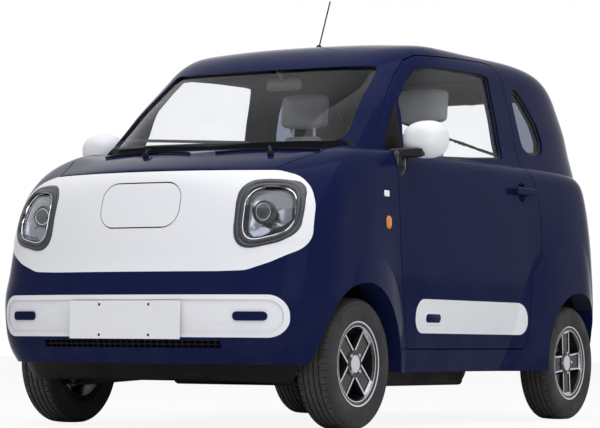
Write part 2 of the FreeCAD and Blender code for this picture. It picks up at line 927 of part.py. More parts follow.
# Seen from above: the bonnet, and the black panel under the windscreen
BONNET_SHARES = (
    (0.603, 0.000),
    (0.592, 0.397),
    (0.553, 0.662),
    (0.519, 0.772),
    (0.679, 0.766),
    (0.736, 0.714),
    (0.773, 0.685),
    (0.813, 0.658),
    (0.980, 0.658),
)
COWL_SHARES = (
    (0.300, 0.780),
    (0.519, 0.780),
    (0.553, 0.670),
    (0.592, 0.405),
    (0.603, 0.010),
)
BONNET_LOW_SHARE = 0.596
COWL_TOP_SHARE = 0.701
bonnet_low = panel_top + s.shut_gap
cowl_top = COWL_TOP_SHARE * HEIGHT


def bonnet_prism(grow):
    """The bonnet's outline, drawn upwards."""
    shares = list(BONNET_SHARES) + [(x, -y) for x, y in reversed(BONNET_SHARES[1:])]
    return plan_prism(shares, s.bonnet_corner, BONNET_LOW_SHARE * HEIGHT, HEIGHT, grow)


WINDSCREEN_SHARES = ((0.652, 0.9125), (0.739, 0.701))
REAR_GLASS_SHARES = ((0.530, 0.912), (0.596, 0.880), (0.662, 0.733), (0.642, 0.707))
TAILGATE_SHARES = (
    (0.570, None),
    (0.669, 0.918),
    (0.742, 0.713),
    (0.722, 0.590),
    (0.702, 0.434),
    (0.656, None),
)
TAIL_LAMP_SHARES = (
    (0.745, 0.583),
    (0.905, 0.579),
    (0.915, 0.452),
    (0.800, 0.436),
    (0.748, 0.437),
)
SCREEN_CORNER_SHARE = 0.05
screen_corner = SCREEN_CORNER_SHARE * HALF_WIDTH
tail_start = -HALF_LENGTH - s.cut_over
TAIL_END_SHARE = -0.64
tail_end = TAIL_END_SHARE * HALF_LENGTH


def tailgate_prism(grow):
    """The tailgate's outline, drawn along the car."""
    levels = [s.tailgate_top if z is None else z * HEIGHT for y, z in TAILGATE_SHARES]
    levels[-1] = s.tailgate_bottom
    left = [V(0, row[0] * HALF_WIDTH, level) for row, level in zip(TAILGATE_SHARES, levels)]
    points = left + [V(0, -point.y, point.z) for point in reversed(left)]
    return front_prism(points, screen_corner, tail_start, tail_end, grow)


gap = s.shut_gap
screen_prism = front_prism(
    front_points(both_halves(WINDSCREEN_SHARES)), screen_corner, s.axle_height, HALF_LENGTH
)
rear_glass_prism = front_prism(
    front_points(both_halves(REAR_GLASS_SHARES)), screen_corner, tail_start, tail_end
)
door_gap_left = door_prism(gap)
door_gaps = [door_gap_left, mirrored(door_gap_left)]
quarter_left = side_prism(QUARTER_GLASS_SHARES, quarter_corner, door_inner_y, HALF_WIDTH)
quarters = [quarter_left, mirrored(quarter_left)]

# Doors with their glass, handle and the white strip low on the outside
STRIP_NOSE_SHARE = 0.46
door_strip_points = [
    V(s.door_strip_front, 0, s.door_strip_level - s.door_strip_height / 2),
    V(s.door_strip_front, 0, s.door_strip_level + s.door_strip_height / 2),
    V(-s.door_strip_rear, 0, s.door_strip_level + s.door_strip_height / 2),
    V(-s.door_strip_rear, 0, s.door_strip_level - s.door_strip_height / 2),
]


def side_outline_prism(points, radius, low_y, high_y):
    """Everything inside a side-view outline given in millimetres between two planes."""
    face = outline_face(points, radius)
    face.translate(V(0, low_y, 0))
    return drawn(face, V(0, high_y - low_y, 0))


door_strip_prism = side_outline_prism(
    door_strip_points, STRIP_NOSE_SHARE * s.door_strip_height, door_inner_y, HALF_WIDTH
)
door_glass_prism = side_prism(DOOR_GLASS_SHARES, glass_corner, door_inner_y - gap, HALF_WIDTH)
handle_skin = skin_half_width(s.handle_level)
HANDLE_CUP_SHARE = 0.4
HANDLE_EDGE_SHARE = 0.2
HANDLE_POST_SHARES = (0.333, 1.2)
cup_depth = HANDLE_CUP_SHARE * s.handle_cup_radius
cup_ball = (s.handle_cup_radius**2 + cup_depth**2) / (2 * cup_depth)
handle_cup = Part.makeSphere(cup_ball, V(-s.handle_x, handle_skin + cup_ball - cup_depth, s.handle_level))
bar_low = V(
    -s.handle_x - s.handle_length / 2,
    handle_skin + s.handle_height / 2,
    s.handle_level - s.handle_height / 2,
)
handle_bar = Part.makeBox(s.handle_length, s.handle_height / 2, s.handle_height, bar_low)
handle_bar = handle_bar.makeFillet(HANDLE_EDGE_SHARE * s.handle_height, handle_bar.Edges)
handle_posts = []
for end in (-1, 1):
    post_x = -s.handle_x + end * (s.handle_length / 2 - s.handle_height)
    post = Part.makeCylinder(
        HANDLE_POST_SHARES[0] * s.handle_height,
        HANDLE_POST_SHARES[1] * s.handle_height,
        V(post_x, handle_skin - s.handle_height / 2, s.handle_level),
        V(0, 1, 0),
    )
    handle_posts.append(post)

door_block = left_wall.common(door_prism(0))
door_left = one_solid(door_block.cut([door_glass_prism, handle_cup]))
door_strip = door_left.common(door_strip_prism).cut(skin_panel)
door_strip = one_solid(door_strip)
door_left = one_solid(door_left.cut(door_strip).fuse([handle_bar] + handle_posts))
door_glass = one_solid(glass_layer.common(door_glass_prism))
for side_name, sign in SIDES:
    pose = (lambda shape: shape) if sign > 0 else mirrored
    add("door_" + side_name, pose(door_left))
    add("door_glass_" + side_name, pose(door_glass))
    add("door_strip_" + side_name, pose(door_strip))

# Front: bonnet, face panel with its lamps and lid, and the bumper
nose_block = wall.common(box((nose_start, -HALF_WIDTH, s.sill_bottom), (nose_end, HALF_WIDTH, HEIGHT)))
face_block = nose_block.common(panel_prism(0))
lamp_blocks = lamp_prisms(LAMP_SHARES, LAMP_CORNER_SHARE, nose_start, nose_end)
lens_blocks = lamp_prisms(LAMP_LENS_SHARES, LENS_CORNER_SHARE, nose_start, nose_end)
face_panel = face_block.cut([skin_panel] + lamp_blocks + [lid_prism(gap)])
add("face_panel", one_solid(face_panel))
charge_lid = face_block.cut(skin_panel).common(lid_prism(0))
add("charge_lid", one_solid(charge_lid))
lamps = face_block.common(Part.makeCompound(lamp_blocks))
lamp_skin = lower_solid(Trim(s.lens_depth, s.lens_depth, s.lens_depth, s.lens_depth), inner_bottom)
lamp_back = lower_solid(Trim(s.lamp_depth, s.lamp_depth, s.lamp_depth, s.lamp_depth), inner_bottom)
bowl = Part.makeCompound(lens_blocks).cut(lamp_back)
add("headlamps", large_solids(lamps.cut(bowl), SLIVER))
lenses = lamps.common(Part.makeCompound(lens_blocks)).cut(lamp_skin).common(skin_recess)
add("headlamp_lenses", large_solids(lenses, SLIVER))
front_frame = face_block.common(skin_panel).cut(lamp_blocks)


def rod(start, end, radius):
    """A round bar between two points."""
    return Part.makeCylinder(radius, (end - start).Length, start, end - start)


# Hollow behind the lid's upper edge, which swings inward as the lid opens
lid_hinge_z = s.lid_level + s.lid_height / 2 + s.lid_hinge_rise
lid_room_half = s.lid_width / 2 + gap
lid_room = rod(
    V(s.lid_hinge_x, -lid_room_half, lid_hinge_z), V(s.lid_hinge_x, lid_room_half, lid_hinge_z), s.lid_hinge_room
)
lid_sweep = box(
    (s.lid_hinge_x - s.lid_hinge_room, -lid_room_half, lid_hinge_z - s.lid_hinge_room),
    (s.lid_hinge_x + s.lid_hinge_room, lid_room_half, lid_hinge_z),
)
front_frame = front_frame.cut(lid_room.common(lid_sweep))

bonnet_box = box((0, -HALF_WIDTH, bonnet_low), (nose_end, HALF_WIDTH, HEIGHT))
bonnet = wall.common(bonnet_prism(0)).common(bonnet_box)
bonnet = bonnet.cut(cabin_solid(OUTSIDE))
add("bonnet", one_solid(bonnet))

BUMPER_SHARES = (
    (0.767, 0.100),
    (0.767, 0.300),
    (0.845, 0.434),
    (0.860, 0.447),
    (1.080, 0.447),
    (1.080, 0.100),
)
bumper_prism = side_prism(BUMPER_SHARES, gap, -HALF_WIDTH - s.cut_over, HALF_WIDTH + s.cut_over)
strip_prism = front_prism(
    pill_points(0, s.strip_level, 2 * s.strip_half_width, s.strip_height),
    STRIP_NOSE_SHARE * s.strip_height,
    nose_start,
    nose_end,
)
recess_height = s.strip_height - 2 * s.strip_rim
recess_prism = front_prism(
    pill_points(0, s.strip_level, 2 * s.strip_half_width - 2 * s.strip_rim, recess_height),
    STRIP_NOSE_SHARE * recess_height,
    nose_start,
    nose_end,
)
pill_blocks = [
    front_prism(
        pill_points(sign * s.pill_offset, s.strip_level, s.pill_length, s.pill_height),
        STRIP_NOSE_SHARE * s.pill_height,
        nose_start,
        nose_end,
    )
    for side_name, sign in SIDES
]
bumper_block = wall.common(bumper_prism).cut(panel_prism(0))
bumper_box = box((nose_start, -HALF_WIDTH, s.bumper_bottom), (nose_end, HALF_WIDTH, HEIGHT))
bumper_block = bumper_block.common(bumper_box)
plate_front = HALF_LENGTH
plate = Part.makeBox(
    s.plate_gauge, s.plate_width, s.plate_height,
    V(plate_front - s.plate_gauge, -s.plate_width / 2, s.plate_level - s.plate_height / 2),
)
plate_holes = [
    Part.makeCylinder(
        s.plate_hole_radius,
        nose_end - nose_start,
        V(nose_start, side * s.plate_pitch_y / 2, s.plate_level + up * s.plate_pitch_z / 2),
        V(1, 0, 0),
    )
    for side in (-1, 1)
    for up in (-1, 1)
]
strip_block = bumper_block.common(strip_prism).cut(skin_panel)
front_strip = strip_block.cut(pill_blocks + [plate] + plate_holes).cut(recess_prism.cut(skin_recess))
add("front_strip", one_solid(front_strip))
add("plate_holder", plate.cut(plate_holes))
slot = box(
    (nose_start, -s.slot_half_width, s.slot_bottom), (nose_end, s.slot_half_width, s.slot_bottom + s.slot_height)
)
strip_pocket = strip_prism.cut(skin_panel).cut(pill_blocks)
front_bumper = bumper_block.cut([strip_pocket, slot, plate] + plate_holes)
add("front_bumper", one_solid(front_bumper))

# Sides: front wings, the frame round the door and the rear quarter, and the roof between them
cowl_prism_shares = list(COWL_SHARES) + [(x, -y) for x, y in reversed(COWL_SHARES)]
cowl_prism = plan_prism(cowl_prism_shares, gap, BONNET_LOW_SHARE * HEIGHT, cowl_top)
cowl = wall.common(cowl_prism)
for tool in [bonnet_prism(gap)] + door_gaps:
    cowl = cowl.cut(tool)
ROOF_EDGE_SHARE = 0.715
ROOF_LOW_SHARE = 0.9125
roof_box = box(
    (tail_start, -ROOF_EDGE_SHARE * HALF_WIDTH, ROOF_LOW_SHARE * HEIGHT),
    (HALF_LENGTH, ROOF_EDGE_SHARE * HALF_WIDTH, 2 * HEIGHT),
)
roof_panel = wall.common(roof_box).cut([tailgate_prism(gap), screen_prism] + door_gaps)
add("roof_panel", one_solid(roof_panel))

WING_TOP_SHARE = 0.690
WING_REAR_SHARE = 0.145
wing_box = box(
    (WING_REAR_SHARE * HALF_LENGTH, 0, s.sill_bottom), (HALF_LENGTH, HALF_WIDTH, WING_TOP_SHARE * HEIGHT)
)
SILL_TOP_SHARE = 0.206
sill_box = box((0, 0, 0), (HALF_LENGTH, HALF_WIDTH, SILL_TOP_SHARE * HEIGHT))
wing = left_wall.common(wing_box).cut(
    [door_gap_left, bonnet_prism(gap), panel_prism(0), bumper_prism, cowl_prism, screen_prism, sill_box]
)
wing = one_solid(wing)
add("fenders", Part.makeCompound([wing, mirrored(wing)]))

REAR_BUMPER_SHARES = (
    (-1.080, 0.100),
    (-1.080, None),
    (-0.860, None),
    (-0.800, 0.300),
    (-0.800, 0.100),
)
rear_bumper_top = s.tailgate_bottom - gap
rear_bumper_points = [
    V(x * HALF_LENGTH, 0, rear_bumper_top if z is None else z * HEIGHT) for x, z in REAR_BUMPER_SHARES
]
rear_bumper_prism = side_outline_prism(
    rear_bumper_points, gap, -HALF_WIDTH - s.cut_over, HALF_WIDTH + s.cut_over
)
rear_bumper = wall.common(rear_bumper_prism)
rear_strip_prism = front_prism(
    pill_points(0, s.strip_level, 2 * s.strip_half_width, s.strip_height),
    STRIP_NOSE_SHARE * s.strip_height,
    tail_start,
    tail_end,
)
rear_strip = one_solid(rear_bumper.common(rear_strip_prism).cut(skin_panel))
add("rear_strip", rear_strip)
add("rear_bumper", one_solid(rear_bumper.cut(rear_strip)))
tail_blocks = lamp_prisms(TAIL_LAMP_SHARES, LENS_CORNER_SHARE, tail_start, tail_end)
tail_lamps = large_solids(wall.common(Part.makeCompound(tail_blocks)).cut(skin_panel), SLIVER)
add("tail_lamps", tail_lamps)

side_left = left_wall.cut(door_gap_left)
side_tools = [roof_box, wing_box.cut(sill_box), bumper_prism, tailgate_prism(gap), rear_bumper_prism]
for tool in side_tools + [bonnet_prism(gap), cowl_prism, screen_prism]:
    side_left = side_left.cut(tool)
side_left = side_left.cut([quarter_left] + tail_blocks[:1])
side_left = one_solid(side_left)
add("side_left", side_left)
add("side_right", mirrored(side_left))

tailgate_block = wall.common(tailgate_prism(0))
add("tailgate", one_solid(tailgate_block.cut(rear_glass_prism)))
add("tailgate_glass", one_solid(glass_layer.common(rear_glass_prism)))
add("windscreen", one_solid(glass_layer.common(screen_prism)))
add("quarter_glasses", large_solids(glass_layer.common(Part.makeCompound(quarters)), SLIVER))
front_frame = one_solid(front_frame)
add("front_frame", front_frame)

# Bars in the slot below the front strip
slot_block = bumper_block.common(slot).common(skin_recess).cut(skin_panel)
bar_pitch = s.grille_pitch
bar_count = int(2 * s.slot_half_width / bar_pitch)
window_height = (s.slot_height - s.grille_bar) / 2
windows = []
for column in range(bar_count):
    centre_y = (column - (bar_count - 1) / 2) * bar_pitch
    for level in (s.slot_bottom, s.slot_bottom + window_height + s.grille_bar):
        windows.append(
            box(
                (nose_start, centre_y - (bar_pitch - s.grille_bar) / 2, level),
                (nose_end, centre_y + (bar_pitch - s.grille_bar) / 2, level + window_height),
            )
        )
add("grille", one_solid(slot_block.cut(windows)))

# Floor, firewall and the step up to the load space, as one folded sheet
FLOOR_STEPS = (
    (s.firewall_x, s.firewall_top),
    (s.firewall_x, s.firewall_foot),
    (s.toe_x, s.floor_level + s.toe_rise),
    (s.toe_x, s.floor_level),
    (-s.kick_x, s.floor_level),
    (-s.kick_x - s.kick_lean, s.kick_level),
    (-HALF_LENGTH, s.kick_level),
)
floor_low = [V(x, 0, z) for x, z in FLOOR_STEPS]
# How far each fold of the sheet moves for its thickness, along the car and upwards
FOLD_SHARES = ((-1, 0), (-1, 0.3), (-1, 0.5), (-0.9, 1), (0.9, 1), (0.9, 1), (0, 1))
floor_high = [
    point + V(x * s.floor_gauge, 0, z * s.floor_gauge) for point, (x, z) in zip(floor_low, FOLD_SHARES)
]
floor_face = Part.Face(Part.makePolygon(floor_low + floor_high[::-1] + [floor_low[0]]))
floor_face.translate(V(0, -HALF_WIDTH, 0))
floor_pan = drawn(floor_face, V(0, 2 * HALF_WIDTH, 0)).common(hollow)
liner_cuts = []
liner_rings = []
for axle_name, hub_x in AXLES:
    for side_name, sign in SIDES:
        direction = V(0, sign, 0)
        outer_radius = s.arch_radius + s.liner_gauge
        inner_y = s.wheelhouse_wall - s.liner_gauge
        start = V(hub_x, sign * inner_y, s.axle_height)
        whole = Part.makeCylinder(outer_radius, HALF_WIDTH, start, direction)
        liner_cuts.append(whole)
        room = Part.makeCylinder(
            s.arch_radius, HALF_WIDTH, V(hub_x, sign * s.wheelhouse_wall, s.axle_height), direction
        )
        liner_rings.append(whole.cut(room))
floor_pan = one_solid(floor_pan.cut(liner_cuts))

# Black panel between bonnet and windscreen, with the box under it
PLENUM_REAR_SHARE = 0.52
plenum_box = box((PLENUM_REAR_SHARE * HALF_LENGTH, -HALF_WIDTH, 0), (HALF_LENGTH, HALF_WIDTH, HEIGHT))
plenum = plan_prism(cowl_prism_shares, gap, BONNET_LOW_SHARE * HEIGHT, cowl_top).common(hollow)
plenum = plenum.common(plenum_box)
plenum_room = plan_prism(cowl_prism_shares, gap, BONNET_LOW_SHARE * HEIGHT, cowl_top)
plenum_room.translate(V(-s.panel_gauge, 0, s.floor_gauge))
plenum = plenum.cut([plenum_room, bonnet_prism(gap), floor_pan])
cowl = one_solid(cowl.fuse(one_solid(plenum)))

# Wheel arch liners with the towers over the front struts
low_ball = V(s.front_axle_x, s.ball_low_y, s.ball_low_z)
strut_top = V(s.front_axle_x, s.strut_top_y, s.strut_top_z)
strut_way = V(strut_top - low_ball).normalize()


def strut_point(height):
    """Point of the left steering axis at one height."""
    return low_ball + strut_way * ((height - low_ball.z) / strut_way.z)


def strut_cylinder(radius, low_z, high_z):
    """A round piece on the left steering axis between two heights."""
    start, end = strut_point(low_z), strut_point(high_z)
    return Part.makeCylinder(radius, (end - start).Length, start, strut_way)


tower_inner = s.coil_radius + s.coil_wire_radius + s.tower_clearance
tower_foot = s.axle_height + s.arch_radius - s.tower_clearance
tower_room = strut_cylinder(tower_inner, tower_foot - s.cut_over, s.strut_top_z)
tower = strut_cylinder(tower_inner + s.liner_gauge, tower_foot, s.strut_top_z + s.liner_gauge)
front_arch = arch_cuts[0]
liners = []
LEG_ROOM_SHARE = 0.54
for index, (axle_name, hub_x) in enumerate(AXLES):
    liner = liner_rings[2 * index].common(hollow)
    leg_half = LEG_ROOM_SHARE * s.arch_radius
    leg_room = box(
        (hub_x - leg_half, s.wheelhouse_wall - s.cut_over, 0),
        (hub_x + leg_half, s.wheelhouse_wall + s.liner_gauge / 2, s.axle_height + leg_half),
    )
    liner = liner.cut(leg_room).common(box((-BIG, 0, s.sill_bottom), (BIG, BIG, BIG)))
    if axle_name == "front":
        liner = one_solid(liner).fuse(tower.cut(front_arch)).cut(tower_room).removeSplitter()
    liners.append(one_solid(liner))
add("arch_liners", Part.makeCompound(liners + [mirrored(liner) for liner in liners]))
floor_pan = one_solid(floor_pan.cut([tower, mirrored(tower)]))
add("floor_pan", floor_pan)
cowl = one_solid(cowl.cut([tower, mirrored(tower)]))
add("cowl", cowl)

# Shelf between the towers with the closed box for the controls on it
shelf = box(
    (s.dash_front, -s.wheelhouse_wall + s.liner_gauge, s.shelf_level),
    (HALF_LENGTH, s.wheelhouse_wall - s.liner_gauge, s.shelf_level + s.shelf_gauge),
)
CONTROL_BOX_SHARES = (0.62, 0.80, 0.32)
control_box = box(
    (CONTROL_BOX_SHARES[0] * HALF_LENGTH, -CONTROL_BOX_SHARES[2] * HALF_WIDTH, s.shelf_level + s.shelf_gauge),
    (CONTROL_BOX_SHARES[1] * HALF_LENGTH, CONTROL_BOX_SHARES[2] * HALF_WIDTH, s.strut_top_z),
)
control_box = control_box.makeFillet(s.shelf_gauge, control_box.Edges)
shelf = shelf.common(hollow).cut([floor_pan, tower, mirrored(tower)])
add("front_shelf", one_solid(one_solid(shelf).fuse(control_box)))

# Battery under the floor
battery = box(
    (-s.battery_length / 2, -s.battery_width / 2, s.floor_level - s.battery_height),
    (s.battery_length / 2, s.battery_width / 2, s.floor_level),
)
low_edges = [edge for edge in battery.Edges if edge.BoundBox.ZMin < s.floor_level - s.battery_height / 2]
add("battery_box", battery.makeFillet(s.battery_rounding, low_edges))


def coil(start, end):
    """A coil spring between two seats."""
    length = (end - start).Length
    helix = Part.makeHelix(s.coil_pitch, length, s.coil_radius)
    first = Part.Circle(V(s.coil_radius, 0, 0), V(0, 1, 0), s.coil_wire_radius).toShape()
    spring = Part.Wire(helix.Edges).makePipeShell([Part.Wire(first)], True, True)
    if spring.Volume < 0:
        spring.reverse()
    spring.Placement = FreeCAD.Placement(start, FreeCAD.Rotation(V(0, 0, 1), end - start))
    return spring


# Front running gear that stays with the body: frame, arms, rack case, springs and strut rods
rails = []
for sign in (1, -1):
    centre_y = sign * s.rail_y
    rails.append(
        box(
            (s.front_axle_x - s.rail_reach, centre_y - s.rail_width / 2, s.rail_level - s.rail_width / 2),
            (s.front_axle_x + s.rail_reach, centre_y + s.rail_width / 2, s.rail_level + s.rail_width / 2),
        )
    )
cross_half = s.wheelhouse_wall - s.liner_gauge
for end in (1, -1):
    centre_x = s.front_axle_x + end * (s.rail_reach - s.rail_width / 2)
    rails.append(
        box(
            (centre_x - s.rail_width / 2, -cross_half, s.rail_level - s.rail_width / 2),
            (centre_x + s.rail_width / 2, cross_half, s.rail_level + s.rail_width / 2),
        )
    )
rack_x = s.front_axle_x - s.rack_setback
rails.append(rod(V(rack_x, -s.rail_y, s.rack_z), V(rack_x, s.rail_y, s.rack_z), s.rack_case_radius))
eye_low = low_ball - strut_way * (s.arm_radius * 2 + gap)
eye_high = low_ball - strut_way * (s.arm_radius + gap)
for end in (1, -1):
    root = V(s.front_axle_x + end * s.arm_spread, s.rail_y, s.ball_low_z + s.arm_radius)
    foot = (eye_low + eye_high) * 0.5
    for side in (1, -1):
        rails.append(rod(V(root.x, side * root.y, root.z), V(foot.x, side * foot.y, foot.z), s.arm_rod_radius))
arm_eye = rod(eye_low, eye_high, s.arm_eye_radius)
ball_pin = rod(eye_low, low_ball + strut_way * s.arm_radius, s.ball_pin_radius)
knuckle_room = strut_cylinder(s.strut_radius + gap, eye_high.z, s.strut_tube_top)
bore_end = V(0, s.rail_y + s.cut_over, 0)
rack_middle = V(rack_x, 0, s.rack_z)
bore = rod(rack_middle - bore_end, rack_middle + bore_end, s.rack_radius + s.axle_clearance)
front_gear = rails[0].fuse(rails[1:] + [arm_eye, mirrored(arm_eye)])
rack_rooms = [
    rod(
        V(rack_x, sign * (s.rail_y + s.rail_width / 2), s.rack_z),
        V(rack_x, sign * (s.rack_half_length + s.rack_travel + gap), s.rack_z),
        s.rack_radius + gap,
    )
    for sign in (1, -1)
]
front_gear = front_gear.cut([bore, knuckle_room, mirrored(knuckle_room)] + rack_rooms)
front_gear = front_gear.fuse([ball_pin, mirrored(ball_pin)])
spring_start, spring_end = strut_point(s.coil_bottom), strut_point(s.strut_top_z)
seat_gauge = s.spring_seat_gauge
strut_rod = strut_cylinder(s.strut_rod_radius, s.strut_tube_top - s.cut_over, s.strut_top_z)
low_seat = strut_cylinder(s.coil_radius + s.coil_wire_radius, s.coil_bottom - seat_gauge, s.coil_bottom)
top_seat = strut_cylinder(s.coil_radius + s.coil_wire_radius, s.strut_top_z - seat_gauge, s.strut_top_z)
rise = strut_way * (s.coil_wire_radius + s.seal_gap)
spring = coil(spring_start + rise, spring_end - strut_way * seat_gauge - rise)
strut = one_solid(strut_rod.fuse([low_seat, top_seat]))
front_gear = one_solid(front_gear)
add("front_suspension", Part.makeCompound([front_gear, strut, mirrored(strut), spring, mirrored(spring)]))

# Black tray under the nose
dam_trim = Trim(s.air_dam_inset, s.air_dam_inset, s.air_dam_inset, 0)
dam_depth = s.air_dam_inset + s.air_dam_gauge
dam_inside = Trim(dam_depth, dam_depth, dam_depth, 0)
AIR_DAM_SHARE = 0.72
dam_box = box(
    (AIR_DAM_SHARE * HALF_LENGTH, -HALF_WIDTH, s.air_dam_bottom), (HALF_LENGTH, HALF_WIDTH, s.bumper_bottom)
)
dam = lower_solid(dam_trim, s.air_dam_bottom).common(dam_box)
dam_room = lower_solid(dam_inside, s.air_dam_bottom + s.air_dam_floor_gauge)
air_dam = one_solid(dam.cut([dam_room, front_gear] + arch_cuts))
add("air_dam", air_dam)

# Rack and tie rods
rack = rod(V(rack_x, -s.rack_half_length, s.rack_z), V(rack_x, s.rack_half_length, s.rack_z), s.rack_radius)
ends = []
for sign in (1, -1):
    tip = V(rack_x, sign * s.steer_arm_y, s.rack_z)
    ends.append(rod(V(rack_x, sign * (s.rack_half_length - s.rack_radius), s.rack_z), tip, s.tie_rod_radius))
    ends.append(Part.makeSphere(s.tie_ball_radius, tip))
add("steering_rack", one_solid(rack.fuse(ends)))

# Knuckles with their stub axles and steering arms
hub_y = strut_point(s.axle_height).y
knuckle_low = low_ball - strut_way * s.arm_radius
knuckle = rod(knuckle_low, strut_point(s.strut_tube_top), s.strut_radius)
hub_start = V(s.front_axle_x, hub_y, s.axle_height)
hub_face = V(s.front_axle_x, s.knuckle_face, s.axle_height)
hub_end = V(s.front_axle_x, s.wheel_plane + s.stub_reach, s.axle_height)
arm_start = V(s.front_axle_x, hub_y, s.steer_arm_z)
arm_end = V(s.front_axle_x - s.steer_arm_reach, s.steer_arm_y, s.steer_arm_z)
eye_half = V(0, 0, s.steer_arm_radius)
knuckle = knuckle.fuse(
    [
        rod(hub_start, hub_face, s.knuckle_boss_radius),
        rod(hub_start, hub_end, s.stub_radius),
        rod(arm_start, arm_end, s.steer_arm_radius),
        rod(arm_end - eye_half, arm_end + eye_half, s.steer_eye_radius),
    ]
)
knuckle = knuckle.cut(
    [
        rod(
            knuckle_low - strut_way * s.arm_radius,
            low_ball + strut_way * (s.arm_radius + gap),
            s.ball_pin_radius + s.axle_clearance,
        ),
        strut_cylinder(
            s.strut_rod_radius + s.axle_clearance,
            s.strut_tube_top - s.cut_over - gap,
            s.strut_tube_top + s.cut_over,
        ),
    ]
)
add("knuckle_left", one_solid(knuckle))
add("knuckle_right", mirrored(one_solid(knuckle)))

# Rear beam axle with its motor, trailing arms and springs
rear_hub = V(REAR_AXLE_X, 0, s.axle_height)
beam = rod(rear_hub - V(0, s.knuckle_face, 0), rear_hub + V(0, s.knuckle_face, 0), s.axle_tube_radius)
stub_end = V(0, s.wheel_plane + s.stub_reach, 0)
stub = rod(rear_hub - stub_end, rear_hub + stub_end, s.stub_radius)
motor = rod(rear_hub - V(0, s.motor_length / 2, 0), rear_hub + V(0, s.motor_length / 2, 0), s.motor_radius)
motor = motor.makeFillet(s.motor_rounding, motor.Edges)
rear_parts = [stub, motor]
rear_coils = []
for sign in (1, -1):
    arm_rear = V(REAR_AXLE_X, sign * s.trailing_arm_y, s.axle_height)
    arm_front = V(-s.kick_x, sign * s.trailing_arm_y, s.axle_height + s.trailing_arm_rise)
    rear_parts.append(rod(arm_rear, arm_front, s.trailing_arm_radius))
    spring_low = V(REAR_AXLE_X, sign * s.rear_spring_y, s.axle_height + s.axle_tube_radius - s.coil_wire_radius)
    spring_high = V(REAR_AXLE_X, sign * s.rear_spring_y, s.axle_height + s.arch_radius - s.coil_wire_radius)
    seat_radius = s.coil_radius + s.coil_wire_radius
    rear_parts.append(Part.makeCylinder(seat_radius, seat_gauge, spring_low))
    rear_parts.append(Part.makeCylinder(seat_radius, seat_gauge * 2, spring_high - V(0, 0, seat_gauge)))
    rear_parts.append(rod(spring_low, spring_high, s.strut_radius))
    rise = V(0, 0, seat_gauge + s.coil_wire_radius + s.seal_gap)
    rear_coils.append(coil(spring_low + rise, spring_high - rise))
rear_axle = beam.fuse(rear_parts)
rear_rooms = [liners[1], mirrored(liners[1]), floor_pan]
add("rear_axle", Part.makeCompound([one_solid(rear_axle.cut(rear_rooms))] + rear_coils))


def origin_plane(body, role):
    """One of the body's own base planes."""
    return [feature for feature in body.Origin.OriginFeatures if feature.Role == role][0]


def outline_sketch(body, name, role, corners):
    """A closed polygon whose corners are held by formulas of the sheet."""
    sketch = body.newObject("Sketcher::SketchObject", name)
    sketch.AttachmentSupport = [(origin_plane(body, role), "")]
    sketch.MapMode = "FlatFace"
    count = len(corners)
    turn = 2 * math.pi / count
    for index in range(count):
        start = V(math.cos(index * turn), math.sin(index * turn), 0)
        end = V(math.cos((index + 1) * turn), math.sin((index + 1) * turn), 0)
        sketch.addGeometry(Part.LineSegment(start * BIG, end * BIG))
    for index in range(count):
        sketch.addConstraint(Sketcher.Constraint("Coincident", index, 2, (index + 1) % count, 1))
    for index, (across, up) in enumerate(corners):
        for kind, formula in (("DistanceX", across), ("DistanceY", up)):
            held = sketch.addConstraint(Sketcher.Constraint(kind, -1, 1, index, 1, BIG))
            sketch.setExpression("Constraints[%d]" % held, formula.replace("@", "Sizes."))
    return sketch


def revolved(body, name, corners):
    """The profile turned about the body's Y axis."""
    sketch = outline_sketch(body, name + "Profile", "YZ_Plane", corners)
    turned = body.newObject("PartDesign::Revolution", name)
    turned.Profile = sketch
    turned.ReferenceAxis = (sketch, ["H_Axis"])
    turned.Angle = 360
    sketch.Visibility = False
    return turned


def new_body(label):
    """A body of the document with its own label."""
    body = doc.addObject("PartDesign::Body", label)
    body.Label = label
    return body


TYRE_CORNERS = (
    ("-@tyre_seat_width / 2", "@rim_radius + @seal_gap"),
    ("-@tyre_width / 2", "@rim_radius + @sidewall_bulge"),
    ("-@tyre_width / 2 + @rim_lip", "@tyre_radius - @shoulder_drop"),
    ("-@tread_width / 2", "@tyre_radius"),
    ("@tread_width / 2", "@tyre_radius"),
    ("@tyre_width / 2 - @rim_lip", "@tyre_radius - @shoulder_drop"),
    ("@tyre_width / 2", "@rim_radius + @sidewall_bulge"),
    ("@tyre_seat_width / 2", "@rim_radius + @seal_gap"),
)
SEAT = "@tyre_seat_width / 2 + 2 * @seal_gap"
BARREL_CORNERS = (
    (SEAT, "@rim_radius"),
    (SEAT + " + @rim_lip", "@rim_radius + @rim_flange"),
    (SEAT + " + 2 * @rim_lip", "@rim_radius + @rim_flange"),
    (SEAT + " + @rim_lip", "@rim_radius - @rim_wall"),
    ("-(" + SEAT + " + @rim_lip)", "@rim_radius - @rim_wall"),
    ("-(" + SEAT + " + 2 * @rim_lip)", "@rim_radius + @rim_flange"),
    ("-(" + SEAT + " + @rim_lip)", "@rim_radius + @rim_flange"),
    ("-(" + SEAT + ")", "@rim_radius"),
)
HUB_CORNERS = (
    ("-@hub_inner", "@stub_radius + @axle_clearance"),
    ("-@hub_inner", "@cap_radius"),
    ("-@disc_setback", "@cap_radius"),
    ("-@disc_setback", "@disc_radius"),
    ("-@disc_setback + @disc_thickness", "@disc_radius"),
    ("-@disc_setback + @disc_thickness", "@hub_radius"),
    ("@hub_front", "@hub_radius"),
    ("@hub_front", "@cap_radius"),
    ("@hub_front + @cap_height", "@cap_radius"),
    ("@hub_front + @cap_height", "0 mm"),
    ("@stub_reach + @shut_gap / 2", "0 mm"),
    ("@stub_reach + @shut_gap / 2", "@stub_radius + @axle_clearance"),
)


